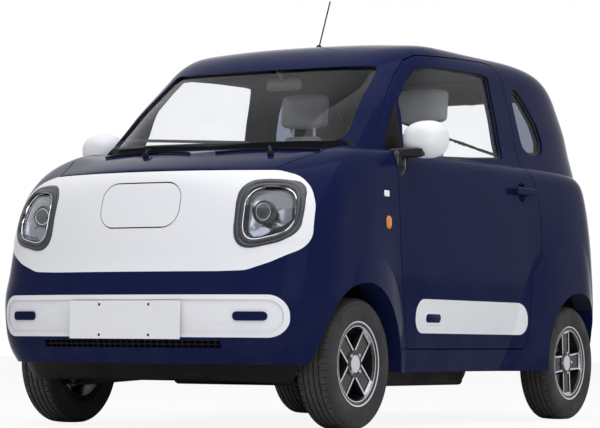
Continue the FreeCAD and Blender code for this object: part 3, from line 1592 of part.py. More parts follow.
def plus_corners(reach, half, root):
    """A cross of four blades, going round from the first quarter."""
    return (
        (reach, half),
        (root, root),
        (half, reach),
        ("-(" + half + ")", reach),
        ("-(" + root + ")", root),
        ("-(" + reach + ")", half),
        ("-(" + reach + ")", "-(" + half + ")"),
        ("-(" + root + ")", "-(" + root + ")"),
        ("-(" + half + ")", "-(" + reach + ")"),
        (half, "-(" + reach + ")"),
        (root, "-(" + root + ")"),
        (reach, "-(" + half + ")"),
    )


WHEEL_TURNS = {"front": s.front_wheel_turn, "rear": s.rear_wheel_turn}
for axle_name, hub_x in AXLES:
    hub_formula = "@front_axle_x" if axle_name == "front" else "@front_axle_x - @wheelbase"
    for side_name, sign in SIDES:
        tyre = new_body("tyre_%s_%s" % (axle_name, side_name))
        revolved(tyre, "Tyre", TYRE_CORNERS)
        rim = new_body("rim_%s_%s" % (axle_name, side_name))
        revolved(rim, "Barrel", BARREL_CORNERS)
        blades = outline_sketch(
            rim, "Blades", "XZ_Plane", plus_corners("@spoke_reach", "@spoke_half_width", "@spoke_root")
        )
        blades.setExpression("AttachmentOffset.Base.z", "Sizes.spoke_thickness - Sizes.hub_front")
        pad = rim.newObject("PartDesign::Pad", "BladePad")
        pad.Profile = blades
        pad.Reversed = True
        pad.setExpression("Length", "Sizes.spoke_thickness")
        hollows = outline_sketch(
            rim,
            "BladeHollows",
            "XZ_Plane",
            plus_corners(
                "@spoke_reach - @spoke_end_rib",
                "@spoke_half_width - @spoke_rib",
                "@spoke_root - @spoke_foot_rib",
            ),
        )
        hollows.setExpression("AttachmentOffset.Base.z", "-Sizes.hub_front")
        pocket = rim.newObject("PartDesign::Pocket", "BladePocket")
        pocket.Profile = hollows
        pocket.setExpression("Length", "Sizes.spoke_recess")
        pocket.Reversed = True
        revolved(rim, "Hub", HUB_CORNERS)
        for body in (tyre, rim):
            body.setExpression("Placement.Base.x", hub_formula.replace("@", "Sizes."))
            body.setExpression("Placement.Base.y", ("" if sign > 0 else "-") + "Sizes.wheel_plane")
            body.setExpression("Placement.Base.z", "Sizes.axle_height")
        turn = WHEEL_TURNS[axle_name]
        facing = 0.0 if sign > 0 else 180.0
        rim.Placement.Rotation = FreeCAD.Rotation(V(0, 0, 1), facing) * FreeCAD.Rotation(V(0, 1, 0), turn)
        tyre.Placement.Rotation = FreeCAD.Rotation(V(0, 0, 1), facing)

# Dashboard with its display, the steering column and the steering wheel
DASH_SHARES = (
    (1.00, 0.00),
    (1.00, 1.00),
    (0.62, 0.985),
    (0.36, 0.94),
    (0.12, 0.86),
    (0.02, 0.70),
    (0.00, 0.50),
    (0.16, 0.34),
    (0.40, 0.22),
    (0.62, 0.00),
)
dash_depth = s.dash_front - s.dash_rear
dash_rise = s.dash_top - s.dash_bottom
dash_points = [V(s.dash_rear + x * dash_depth, 0, s.dash_bottom + z * dash_rise) for x, z in DASH_SHARES]
dash = side_outline_prism(dash_points, s.panel_gauge, -s.dash_half_width, s.dash_half_width)
dash = one_solid(dash.cut([cowl, floor_pan, cabin_solid(OUTSIDE).cut(hollow)]))
tilt = math.radians(s.steering_tilt)
wheel_centre = V(s.steering_wheel_x, s.steering_wheel_y, s.steering_wheel_z)
wheel_way = V(-math.cos(tilt), 0, math.sin(tilt))
column = rod(
    wheel_centre - wheel_way * (s.column_gap + s.column_length), wheel_centre - wheel_way * s.column_gap,
    s.column_radius,
)
column_bore = rod(
    wheel_centre - wheel_way * (s.column_gap + s.column_length - s.cut_over), wheel_centre,
    s.column_shaft_radius + s.axle_clearance,
)
display_centre = V(s.dash_rear - s.display_gauge, 0, s.dash_top - s.display_height * 0.3)
display = box(
    (display_centre.x, -s.display_width / 2, display_centre.z - s.display_height / 2),
    (display_centre.x + s.display_gauge, s.display_width / 2, display_centre.z + s.display_height / 2),
)
display = display.makeFillet(s.display_rounding, display.Edges)
DISPLAY_FOOT_SHARES = (0.5, 0.125, 0.3)
foot_half = DISPLAY_FOOT_SHARES[1] * s.display_width
display_foot = box(
    (
        display_centre.x + DISPLAY_FOOT_SHARES[0] * s.display_gauge,
        -foot_half,
        display_centre.z - DISPLAY_FOOT_SHARES[2] * s.display_height,
    ),
    (s.dash_rear + dash_depth / 2, foot_half, display_centre.z),
)
dash = dash.fuse([column, display, display_foot]).cut(column_bore)
add("dashboard", one_solid(dash))

ring = Part.makeTorus(s.steering_wheel_radius, s.steering_wheel_wire)
BOSS_BACK_SHARE = 0.7
WIRE_SHARE = 0.6
boss = Part.makeCylinder(
    s.steering_boss_radius, s.steering_boss_depth, V(0, 0, -BOSS_BACK_SHARE * s.steering_boss_depth)
)
boss = boss.makeFillet(WIRE_SHARE * s.steering_wheel_wire, boss.Edges)
shaft = Part.makeCylinder(
    s.column_shaft_radius, s.column_gap + s.column_length / 2, V(0, 0, -s.column_gap - s.column_length / 2)
)
spokes = []
SPOKE_ANGLES = (-10, 190, 270)
for angle in SPOKE_ANGLES:
    spoke = box(
        (s.steering_boss_radius / 2, -s.steering_wheel_wire, -WIRE_SHARE * s.steering_wheel_wire),
        (s.steering_wheel_radius, s.steering_wheel_wire, WIRE_SHARE * s.steering_wheel_wire),
    )
    spoke.rotate(V(0, 0, 0), V(0, 0, 1), angle)
    spokes.append(spoke)
steering_wheel = one_solid(ring.fuse([boss, shaft] + spokes))
level_way = V(0, -1, 0)
steering_wheel.Placement = FreeCAD.Placement(
    wheel_centre, FreeCAD.Rotation(level_way, wheel_way.cross(level_way), wheel_way, "ZXY")
)
add("steering_wheel", steering_wheel)

# Seats: side views of cushion and back, and the plinths that carry them
CUSHION_POINTS_SHARE = ((-0.152, 0.252), (-0.152, 0.310), (0.020, 0.314), (0.187, 0.327), (0.187, 0.262))
BACK_POINTS_SHARE = (
    (-0.140, 0.316),
    (-0.185, 0.520),
    (-0.215, 0.690),
    (-0.222, 0.800),
    (-0.262, 0.800),
    (-0.275, 0.690),
    (-0.262, 0.520),
    (-0.236, 0.280),
    (-0.158, 0.280),
)


def seat_piece(shares, centre_y, width):
    """An upholstered block from its side view, with soft edges."""
    face = outline_face(side_points(shares), s.seat_rounding)
    face.translate(V(0, centre_y - width / 2, 0))
    block = drawn(face, V(0, width, 0))
    ends = [edge for edge in block.Edges if edge.BoundBox.YLength < s.seal_gap]
    return block.makeFillet(s.seat_side_rounding, ends)


BACK_WIDTH_SHARE = 0.96
seats = []
for side_name, sign in SIDES:
    cushion = seat_piece(CUSHION_POINTS_SHARE, sign * s.seat_y, s.seat_width)
    back = seat_piece(BACK_POINTS_SHARE, sign * s.seat_y, BACK_WIDTH_SHARE * s.seat_width)
    seats.append(one_solid(cushion.fuse(back)))
    add("seat_" + side_name, seats[-1])
plinths = []
cushion_floor = CUSHION_POINTS_SHARE[0][1] * HEIGHT + s.seat_rounding
for sign in (1, -1):
    plinths.append(
        box(
            (s.plinth_rear, sign * s.seat_y - s.plinth_half_width, s.floor_level + s.floor_gauge),
            (s.plinth_front, sign * s.seat_y + s.plinth_half_width, cushion_floor),
        )
    )
add("seat_plinths", Part.makeCompound([plinth.cut(seats) for plinth in plinths]))
BENCH_SHARES = (
    (-0.640, 0.304),
    (-0.640, 0.385),
    (-0.480, 0.385),
    (-0.345, 0.394),
    (-0.345, 0.318),
    (-0.470, 0.3045),
)
BENCH_BACK_SHARES = (
    (-0.645, 0.388),
    (-0.685, 0.520),
    (-0.715, 0.640),
    (-0.750, 0.640),
    (-0.735, 0.520),
    (-0.705, 0.305),
    (-0.645, 0.305),
)
bench = seat_piece(BENCH_SHARES, 0, 2 * s.bench_half_width)
bench_back = seat_piece(BENCH_BACK_SHARES, 0, 2 * s.bench_half_width)
bench = one_solid(bench.fuse(bench_back).cut(floor_pan))
add("rear_bench", bench)

# Mirrors on the doors
mirror_half = V(s.mirror_length / 2, s.mirror_width / 2, s.mirror_height / 2)
mirror_centre = V(s.mirror_x, s.mirror_y, s.mirror_z)
mirror_head = box(tuple(mirror_centre - mirror_half), tuple(mirror_centre + mirror_half))
mirror_head = mirror_head.makeFillet(s.mirror_rounding, mirror_head.Edges)
mirror_room = box(
    (mirror_centre.x - mirror_half.x - gap, mirror_centre.y - s.mirror_width, mirror_centre.z - s.mirror_height),
    (
        mirror_centre.x - mirror_half.x + s.mirror_glass_inset,
        mirror_centre.y + s.mirror_width,
        mirror_centre.z + s.mirror_height,
    ),
)
mirror_head = mirror_head.cut(mirror_room)
back_face = min(mirror_head.Faces, key=lambda face: face.CenterOfMass.x)
glass_seat = back_face.makeOffset2D(-s.mirror_glass_gauge)
mirror_glass = drawn(glass_seat, V(s.mirror_glass_gauge, 0, 0))
mirror_head = mirror_head.cut(mirror_glass)
stalk = rod(
    V(s.mirror_root_x, skin_half_width(s.mirror_root_z) - s.mirror_stalk_radius * 2, s.mirror_root_z),
    mirror_centre,
    s.mirror_stalk_radius,
)
stalk = stalk.cut([mirror_glass, mirror_room, door_left])
stalk = max(stalk.Solids, key=lambda solid: solid.BoundBox.YMax)
mirror = one_solid(mirror_head.fuse(stalk).removeSplitter())
for side_name, sign in SIDES:
    pose = (lambda shape: shape) if sign > 0 else mirrored
    add("mirror_" + side_name, pose(mirror))
    add("mirror_glass_" + side_name, pose(mirror_glass))

# Aerial on the roof
aerial_base = V(s.antenna_x, 0, roof_surface(s.antenna_x, 0, OUTSIDE))
lean = math.radians(s.antenna_lean)
aerial_way = V(-math.sin(lean), 0, math.cos(lean))
aerial = rod(
    aerial_base - aerial_way * s.antenna_foot_radius,
    aerial_base + aerial_way * s.antenna_length,
    s.antenna_radius,
)
foot = Part.makeSphere(s.antenna_foot_radius, aerial_base)
aerial = aerial.fuse(foot).cut(outer)
add("antenna", one_solid(aerial))

# Rubber buffers that the doors and lids rest on
door_edge = door_gap_left.cut(door_prism(s.seal_gap))
buffers = []
BUFFER_HEIGHT_SHARES = (0.28, 0.56)
BUFFER_REACH_SHARES = (-0.5, -0.25)
for share in BUFFER_HEIGHT_SHARES:
    level = share * HEIGHT
    at_y = skin_half_width(level) - s.side_wall / 2
    rear = rod(
        V(BUFFER_REACH_SHARES[0] * HALF_LENGTH, at_y, level),
        V(BUFFER_REACH_SHARES[1] * HALF_LENGTH, at_y, level),
        s.buffer_radius,
    )
    rest = rear.common(door_edge)
    buffers += [rest, mirrored(rest)]


def doubled(shape):
    """A piece and its mirror image."""
    return [shape, mirrored(shape)]


tail_edge = tailgate_prism(gap).cut(tailgate_prism(s.seal_gap))
low_z = s.tailgate_bottom
TAIL_REST_SHARES = (-1, 0.5)
BONNET_REST_SHARES = (0.85, 0.45)
LID_REST_SHARE = 0.25
tail_rest = V(TAIL_REST_SHARES[0] * HALF_LENGTH + s.tail_wall, TAIL_REST_SHARES[1] * HALF_WIDTH, 0)
tail_rod = rod(tail_rest + V(0, 0, low_z - s.cut_over), tail_rest + V(0, 0, low_z + s.cut_over), s.buffer_radius)
buffers += doubled(tail_rod.common(tail_edge))
bonnet_point = V(BONNET_REST_SHARES[0] * HALF_LENGTH, BONNET_REST_SHARES[1] * HALF_WIDTH, 0)
bonnet_rest = rod(
    bonnet_point + V(0, 0, panel_top), bonnet_point + V(0, 0, bonnet_low - s.seal_gap), s.buffer_radius
)
buffers += doubled(bonnet_rest)
lid_low = s.lid_level - s.lid_height / 2
lid_rest_y = LID_REST_SHARE * s.lid_width
lid_rod = box(
    (nose_start, lid_rest_y, lid_low - gap), (nose_end, lid_rest_y + s.buffer_radius, lid_low - s.seal_gap)
)
lid_rest = lid_rod.common(lid_prism(gap)).common(face_block.common(skin_recess).cut(skin_panel))
buffers += doubled(lid_rest)
add("buffers", Part.makeCompound([solid for piece in buffers for solid in piece.Solids]))

doc.recompute()
for feature in doc.Objects:
    if "Invalid" in feature.State or "Error" in feature.State:
        raise RuntimeError("not recomputed: " + feature.Label)
os.makedirs("parts", exist_ok=True)
for feature in doc.RootObjects:
    if feature is sheet:
        continue
    if feature.Shape.isNull() or not feature.Shape.isValid() or not feature.Shape.Solids:
        raise RuntimeError("no valid solid: " + feature.Label)
    feature.Shape.exportStep("parts/" + feature.Label + ".step")
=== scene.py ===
"""Dark-blue microcar: paint, glass, lamps, tyres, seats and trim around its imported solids."""

import math

import bmesh
import bpy
from bpy.props import FloatProperty, FloatVectorProperty, IntProperty, PointerProperty
from mathutils import Matrix, Vector
from mathutils.bvhtree import BVHTree


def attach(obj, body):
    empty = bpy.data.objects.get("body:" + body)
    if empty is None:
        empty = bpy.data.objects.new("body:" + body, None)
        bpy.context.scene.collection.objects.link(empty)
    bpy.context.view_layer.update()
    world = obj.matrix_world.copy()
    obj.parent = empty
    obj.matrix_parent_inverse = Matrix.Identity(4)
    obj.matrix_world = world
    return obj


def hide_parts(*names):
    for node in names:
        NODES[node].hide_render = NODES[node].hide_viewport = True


bl_info = {
    "name": "Microcar Finish",
    "version": (1, 0, 0),
    "blender": (4, 5, 0),
    "location": "View3D > Sidebar > Microcar",
    "description": "Dresses the microcar's solids with paint, glass, lamps, tyres, seats and trim",
    "category": "Object",
}

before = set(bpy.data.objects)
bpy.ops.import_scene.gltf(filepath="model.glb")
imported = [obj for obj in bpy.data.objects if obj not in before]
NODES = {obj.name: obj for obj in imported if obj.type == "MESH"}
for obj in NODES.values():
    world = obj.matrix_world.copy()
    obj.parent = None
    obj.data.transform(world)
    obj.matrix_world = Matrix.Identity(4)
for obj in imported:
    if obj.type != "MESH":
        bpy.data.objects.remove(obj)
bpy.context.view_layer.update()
SIDES = (("left", 1), ("right", -1))
AXLES = (("front", 0.943), ("rear", -1.010))
HUB_HEIGHT = 0.254
WHEEL_PLANE = 0.646
TYRE_WALL = (
    (0.0562, 0.1527), (0.0600, 0.1600), (0.0655, 0.1680), (0.0672, 0.1690), (0.0690, 0.1760),
    (0.0715, 0.1860), (0.0724, 0.2000), (0.0724, 0.2100), (0.0712, 0.2220), (0.0700, 0.2300),
    (0.0682, 0.2315), (0.0680, 0.2380), (0.0655, 0.2430), (0.0610, 0.2475), (0.0565, 0.2505),
)
TREAD_GROOVES = (0.034, 0.0115, -0.0115, -0.034)
TREAD_HALF_WIDTH = 0.0535
TREAD_RADIUS = 0.2539
TREAD_CROWN = 0.0022
SHOULDER = 0.045
NUT_CIRCLE = 0.0435
NUT_START = {"front": 48.0, "rear": 94.0}
PLATE_HOLES = (0.113, 0.058)
PLATE_LEVEL = 0.416
PLATE_RING = 0.0055
PAINT_INDEX = 1.08
SEAT_ASIDE = 0.300
LAMP_FRAME = ((0.412, 0.955), (0.652, 0.947), (0.668, 0.722), (0.420, 0.668))
LAMP_LENS = ((0.448, 0.926), (0.623, 0.920), (0.645, 0.748), (0.452, 0.702))
CAMERA_PLACE = (9.432, 5.448, 0.325)
CAMERA_AHEAD = (-0.8604, -0.5069, 0.0518)
CAMERA_ROLL = 0.464
SENSOR_WIDTH = 36.0
RAY_START = 3.0
FLOOR_REACH = 40
FLOOR_GLOW = 0.90
LOFT_SIDES = 40
SWELL_FRAMES = 20
FLUTE_HEIGHT = 0.0016
FLUTE_PITCH = 0.0135
SAIL = ((0.462, 1.312), (0.636, 1.116), (0.505, 1.112))
PLAIN_WHITE = (1, 1, 1, 1)


# Shader node groups


def shade(tone, share=1.0):
    """A tone made lighter or darker, with full alpha."""
    return tuple(part * share for part in tone) + (1.0,)


class Wiring:
    """Short calls that add nodes to one tree and join them."""

    def __init__(self, tree):
        self.tree = tree

    def add(self, kind, **settings):
        """A node of one kind with its settings."""
        node = self.tree.nodes.new(kind)
        for key, value in settings.items():
            setattr(node, key, value)
        return node

    def join(self, source, target):
        """A link from an output socket to an input socket."""
        self.tree.links.new(source, target)

    def feed(self, socket, value):
        """A value or an output socket goes into an input socket."""
        if isinstance(value, bpy.types.NodeSocket):
            self.join(value, socket)
        else:
            socket.default_value = value

    def onto(self, shader, **sources):
        """Links from output sockets to a shader's inputs."""
        for label, source in sources.items():
            self.join(source, shader.inputs[label.replace("_", " ")])

    def math(self, operation, *values, clamp=False):
        """The output of a math node."""
        node = self.add("ShaderNodeMath", operation=operation, use_clamp=clamp)
        for index, value in enumerate(values):
            self.feed(node.inputs[index], value)
        return node.outputs[0]

    def plus(self, first, second, clamp=False):
        """A sum."""
        return self.math("ADD", first, second, clamp=clamp)

    def minus(self, first, second, clamp=False):
        """A difference."""
        return self.math("SUBTRACT", first, second, clamp=clamp)

    def times(self, first, second):
        """A product."""
        return self.math("MULTIPLY", first, second)

    def larger(self, first, second):
        """The larger of two values."""
        return self.math("MAXIMUM", first, second)

    def flat_length(self, first, second):
        """The length of a flat vector."""
        return self.math("SQRT", self.plus(self.times(first, first), self.times(second, second)))

    def mix(self, factor, first, second):
        """A colour between two colours."""
        node = self.add("ShaderNodeMix", data_type="RGBA")
        self.feed(node.inputs["Factor"], factor)
        self.feed(node.inputs[6], first)
        self.feed(node.inputs[7], second)
        return node.outputs[2]

    def blend(self, factor, first, second):
        """A shader between two shaders."""
        node = self.add("ShaderNodeMixShader")
        self.join(factor, node.inputs[0])
        self.join(first.outputs[0], node.inputs[1])
        self.join(second.outputs[0], node.inputs[2])
        return node.outputs[0]

    def ramp(self, value, low, high):
        """Zero below low, one above high and smooth between them."""
        node = self.add("ShaderNodeMapRange", interpolation_type="SMOOTHSTEP")
        self.feed(node.inputs["Value"], value)
        node.inputs["From Min"].default_value = low
        node.inputs["From Max"].default_value = high
        return node.outputs["Result"]

    def noise(self, place, scale, detail=2.0):
        """A noise value at a place."""
        node = self.add("ShaderNodeTexNoise")
        self.feed(node.inputs["Vector"], place)
        self.feed(node.inputs["Scale"], scale)
        node.inputs["Detail"].default_value = detail
        return node.outputs["Fac"]

    def object_place(self):
        """The point on the object, in metres."""
        return self.add("ShaderNodeTexCoord").outputs["Object"]

    def split(self, place):
        """The x, y and z sockets of a place."""
        node = self.add("ShaderNodeSeparateXYZ")
        self.join(place, node.inputs[0])
        return node.outputs

    def tinted(self, tone, value):
        """A colour with its value set by a socket."""
        node = self.add("ShaderNodeHueSaturation")
        self.join(tone, node.inputs["Color"])
        self.join(value, node.inputs["Value"])
        return node.outputs["Color"]

    def bump(self, height, strength, distance):
        """A normal from a height."""
        node = self.add("ShaderNodeBump")
        self.feed(node.inputs["Height"], height)
        self.feed(node.inputs["Strength"], strength)
        node.inputs["Distance"].default_value = distance
        return node.outputs["Normal"]

    def group(self, group, **values):
        """A placed group with its values."""
        node = self.add("ShaderNodeGroup")
        node.node_tree = group
        for label, value in values.items():
            self.feed(node.inputs[label.replace("_", " ")], value)
        return node.outputs


def new_group(name, inputs, *outputs):
    """The wiring, the inner inputs and the inner outputs of an empty shader group."""
    group = bpy.data.node_groups.new(name, "ShaderNodeTree")
    for label, default in inputs.items():
        kind = "NodeSocketColor" if isinstance(default, tuple) else "NodeSocketFloat"
        socket = group.interface.new_socket(label, in_out="INPUT", socket_type=kind)
        socket.default_value = default
    kinds = {"Color": "NodeSocketColor", "Normal": "NodeSocketVector"}
    for label in outputs:
        kind = kinds.get(label, "NodeSocketFloat")
        group.interface.new_socket(label, in_out="OUTPUT", socket_type=kind)
    wire = Wiring(group)
    return wire, wire.add("NodeGroupInput").outputs, wire.add("NodeGroupOutput").inputs


def paint_flake_group():
    """Metallic paint: a fine sparkle, a slow drift of tone and a faint orange peel."""
    wire, given, result = new_group(
        "Paint Flake", {"Color": (0.02, 0.03, 0.1, 1), "Sparkle": 0.3, "Peel": 0.05},
        "Color", "Normal",
    )
    place = wire.object_place()
    cells = wire.add("ShaderNodeTexVoronoi")
    wire.join(place, cells.inputs["Vector"])
    cells.inputs["Scale"].default_value = 1400.0
    spark = wire.split(cells.outputs["Color"])[0]
    drift = wire.noise(place, 2.2)
    tone = wire.plus(wire.times(spark, 0.75), wire.times(drift, 0.5))
    lift = wire.times(wire.minus(tone, 0.62), given["Sparkle"])
    wire.join(wire.tinted(given["Color"], wire.plus(lift, 1.0)), result["Color"])
    peel = wire.bump(wire.noise(place, 160.0, 1.0), given["Peel"], 0.0006)
    wire.join(peel, result["Normal"])
    return wire.tree


def road_dust_group():
    """Dry road dust that thins out with the height above the floor."""
    wire, given, result = new_group(
        "Road Dust",
        {"Color": (0.1, 0.1, 0.1, 1), "Dust Color": (0.13, 0.115, 0.1, 1), "Reach": 0.5,
         "Amount": 0.4},
        "Color", "Mask",
    )
    place = wire.object_place()
    height = wire.split(place)[2]
    fall = wire.minus(1.0, wire.math("DIVIDE", height, given["Reach"]), clamp=True)
    patches = wire.ramp(wire.noise(place, 9.0, 6.0), 0.3, 0.75)
    mask = wire.times(wire.times(fall, patches), given["Amount"])
    wire.join(mask, result["Mask"])
    wire.join(wire.mix(mask, given["Color"], given["Dust Color"]), result["Color"])
    return wire.tree


def grain_group():
    """Moulded grain: small closed cells over a soft mottle."""
    wire, given, result = new_group(
        "Moulded Grain", {"Scale": 500.0, "Depth": 0.4}, "Value", "Normal"
    )
    place = wire.object_place()
    cells = wire.add("ShaderNodeTexVoronoi", feature="SMOOTH_F1")
    wire.join(place, cells.inputs["Vector"])
    wire.join(given["Scale"], cells.inputs["Scale"])
    mottle = wire.noise(place, 14.0, 4.0)
    value = wire.plus(wire.times(cells.outputs["Distance"], 0.5), wire.times(mottle, 0.6))
    wire.join(value, result["Value"])
    wire.join(wire.bump(cells.outputs["Distance"], given["Depth"], 0.0008), result["Normal"])
    return wire.tree


def weave_group():
    """Woven cloth: warp and weft threads and a slight fading."""
    wire, given, result = new_group(
        "Cloth Weave",
        {"Warp Color": (0.5, 0.5, 0.5, 1), "Weft Color": (0.4, 0.4, 0.4, 1), "Threads": 600.0,
         "Depth": 0.5},
        "Color", "Normal",
    )
    place = wire.object_place()
    across = wire.split(place)
    along = wire.plus(across[0], across[2])
    warp = wire.math("SINE", wire.times(wire.times(across[1], given["Threads"]), math.tau))
    weft = wire.math("SINE", wire.times(wire.times(along, given["Threads"]), math.tau))
    over = wire.times(warp, weft)
    mask = wire.ramp(over, -0.6, 0.6)
    fade = wire.noise(place, 5.0, 3.0)
    woven = wire.mix(mask, given["Warp Color"], given["Weft Color"])
    wire.join(wire.tinted(woven, wire.plus(wire.times(fade, 0.25), 0.88)), result["Color"])
    wire.join(wire.bump(over, given["Depth"], 0.0006), result["Normal"])
    return wire.tree


def smudge_group():
    """Uneven gloss from wiping and fine scratches."""
    wire, given, result = new_group(
        "Wiped Gloss", {"Smooth": 0.1, "Rough": 0.3, "Scale": 6.0}, "Roughness"
    )
    cloud = wire.ramp(wire.noise(wire.object_place(), given["Scale"], 5.0), 0.3, 0.75)
    span = wire.minus(given["Rough"], given["Smooth"])
    wire.join(wire.plus(given["Smooth"], wire.times(cloud, span)), result["Roughness"])
    return wire.tree


GROUPS = {}
FINISHES = {}


# Materials


def new_finish(name, **settings):
    """A material's wiring and shader; plain numbers go on the shader's own sockets."""
    material = bpy.data.materials.new(name)
    material.use_nodes = True
    shader = material.node_tree.nodes["Principled BSDF"]
    for label, value in settings.items():
        shader.inputs[label.replace("_", " ")].default_value = value
    FINISHES[name] = material
    return Wiring(material.node_tree), shader


def wiped(wire, smooth, rough, scale):
    """An uneven roughness between two values."""
    return wire.group(GROUPS["gloss"], Smooth=smooth, Rough=rough, Scale=scale)["Roughness"]


def grained(wire, scale, depth):
    """The mottle and the normal of a moulded grain."""
    return wire.group(GROUPS["grain"], Scale=scale, Depth=depth)


def paint_layers(wire, tone, sparkle, dust):
    """The flakes, the dust over them and the gloss of a paint."""
    flakes = wire.group(GROUPS["flake"], Color=shade(tone), Sparkle=sparkle, Peel=0.04)
    dusty = wire.group(GROUPS["dust"], Color=flakes["Color"], Reach=0.62, Amount=dust)
    return flakes, dusty, wiped(wire, 0.07, 0.16, 3.0)


def body_paint(name, tone, sparkle, dust):
    """Gloss paint over metal or plastic skins, with road dust low down."""
    wire, shader = new_finish(name, IOR=PAINT_INDEX, Specular_IOR_Level=0.5)
    flakes, dusty, gloss = paint_layers(wire, tone, sparkle, dust)
    rough = wire.plus(gloss, dusty["Mask"], clamp=True)
    wire.onto(shader, Base_Color=dusty["Color"], Roughness=rough, Normal=flakes["Normal"])


def shell_paint(name, outer, inner):
    """A painted skin whose cabin side is trimmed in grained plastic."""
    wire, shader = new_finish(name, IOR=PAINT_INDEX, Specular_IOR_Level=0.5)
    flakes, dusty, gloss = paint_layers(wire, outer, 0.5, 0.10)
    grain = grained(wire, 420.0, 0.3)
    place = wire.add("ShaderNodeTexCoord")
    spot = wire.split(place.outputs["Object"])
    lean = wire.split(place.outputs["Normal"])
    sideways = wire.times(wire.math("SIGN", spot[1]), lean[1])
    inward = wire.larger(wire.ramp(wire.times(sideways, -1.0), 0.25, 0.35),
                         wire.ramp(wire.times(lean[2], -1.0), 0.45, 0.55))
    mask = wire.times(inward, wire.ramp(spot[2], 0.30, 0.32))
    trim = wire.mix(grain["Value"], shade(inner, 0.8), shade(inner, 1.2))
    rough = wire.plus(wire.plus(gloss, dusty["Mask"]), wire.times(mask, 0.45), clamp=True)
    wire.onto(shader, Base_Color=wire.mix(mask, dusty["Color"], trim), Roughness=rough,
              Normal=flakes["Normal"])


def moulded(name, tone, smooth, rough, scale, depth, dust=0.0, reach=0.5, specular=0.4):
    """Moulded plastic or rubber with a grain."""
    wire, shader = new_finish(name, Specular_IOR_Level=specular)
    grain = grained(wire, scale, depth)
    base = wire.mix(grain["Value"], shade(tone, 0.8), shade(tone, 1.2))
    if dust:
        base = wire.group(GROUPS["dust"], Color=base, Reach=reach, Amount=dust)["Color"]
    wire.onto(shader, Base_Color=base, Roughness=wiped(wire, smooth, rough, 8.0),
              Normal=grain["Normal"])


def plate_finish(name, tone):
    """Pale sheet with dark rings round its four screw holes."""
    wire, shader = new_finish(name, Specular_IOR_Level=0.4)
    spot = wire.split(wire.object_place())
    aside = wire.minus(wire.math("ABSOLUTE", spot[1]), PLATE_HOLES[0])
    above = wire.minus(wire.math("ABSOLUTE", wire.minus(spot[2], PLATE_LEVEL)), PLATE_HOLES[1])
    ring = wire.math("LESS_THAN", wire.flat_length(aside, above), PLATE_RING)
    haze = wire.noise(wire.object_place(), 9.0, 4.0)
    plain = wire.mix(haze, shade(tone, 0.96), shade(tone))
    wire.onto(shader, Base_Color=wire.mix(ring, plain, (0.01, 0.01, 0.01, 1.0)),
              Roughness=wiped(wire, 0.25, 0.4, 8.0))


def metal(name, tone, smooth, rough, scale):
    """Bare or plated metal with wiping marks."""
    wire, shader = new_finish(name, Metallic=1.0)
    grain = grained(wire, scale, 0.08)
    wire.onto(shader, Base_Color=wire.mix(grain["Value"], shade(tone, 0.85), shade(tone)),
              Roughness=wiped(wire, smooth, rough, 20.0), Normal=grain["Normal"])


def glazing(name, tone, smudge, index=1.12):
    """Clear or tinted glass with faint wiping marks."""
    wire, shader = new_finish(
        name, Transmission_Weight=1.0, Metallic=0.0, IOR=index, Specular_IOR_Level=0.5
    )
    haze = wire.noise(wire.object_place(), 4.0, 5.0)
    wire.onto(shader, Base_Color=wire.mix(haze, shade(tone), shade(tone, 0.93)),
              Roughness=wiped(wire, 0.0, smudge, 5.0))


def cloth(name, warp, weft):
    """Seat cloth with a soft sheen."""
    wire, shader = new_finish(
        name, Sheen_Weight=0.25, Specular_IOR_Level=0.25, Roughness=0.85
    )
    woven = wire.group(GROUPS["weave"], Warp_Color=shade(warp), Weft_Color=shade(weft),
                       Threads=420.0, Depth=0.5)
    wire.onto(shader, Base_Color=woven["Color"], Normal=woven["Normal"])


def rim_finish(name, dark, bright, disc):
    """Cast wheel: dark hollows, machined ribs and flange, a silver cap and a steel brake disc."""
    wire, shader = new_finish(name, Specular_IOR_Level=0.4)
    spot = wire.split(wire.object_place())
    across = wire.math("ABSOLUTE", spot[1])
    middle = (AXLES[0][1] + AXLES[1][1]) / 2
    from_middle = wire.math("ABSOLUTE", wire.minus(spot[0], middle))
    ahead = wire.minus(from_middle, AXLES[0][1] - middle)
    radius = wire.flat_length(ahead, wire.minus(spot[2], HUB_HEIGHT))
    raised = wire.ramp(across, WHEEL_PLANE + 0.0480, WHEEL_PLANE + 0.0495)
    hub_ring = wire.times(wire.ramp(radius, 0.0335, 0.0345),
                          wire.math("LESS_THAN", radius, 0.0535))
    outside_well = wire.larger(wire.math("LESS_THAN", radius, 0.147),
                               wire.math("GREATER_THAN", radius, 0.1595))
    machined = wire.times(wire.times(raised, outside_well), wire.minus(1.0, hub_ring))
    brake = wire.times(wire.math("LESS_THAN", across, WHEEL_PLANE - 0.0055),
                       wire.math("LESS_THAN", radius, 0.108))
    rings = wire.add("ShaderNodeTexNoise")
    spread = wire.add("ShaderNodeCombineXYZ")
    wire.join(wire.times(radius, 900.0), spread.inputs[0])
    wire.join(spread.outputs[0], rings.inputs["Vector"])
    rings.inputs["Scale"].default_value = 1.0
    steel = wire.mix(rings.outputs["Fac"], shade(disc, 0.6), shade(disc))
    silver = wire.mix(rings.outputs["Fac"], shade(bright, 0.9), shade(bright))
    grain = grained(wire, 700.0, 0.1)
    coat = wire.mix(grain["Value"], shade(dark, 0.7), shade(dark, 1.3))
    wire.onto(shader, Base_Color=wire.mix(brake, wire.mix(machined, coat, silver), steel),
              Metallic=wire.times(wire.larger(machined, brake), 0.9),
              Roughness=wiped(wire, 0.22, 0.38, 20.0), Normal=grain["Normal"])


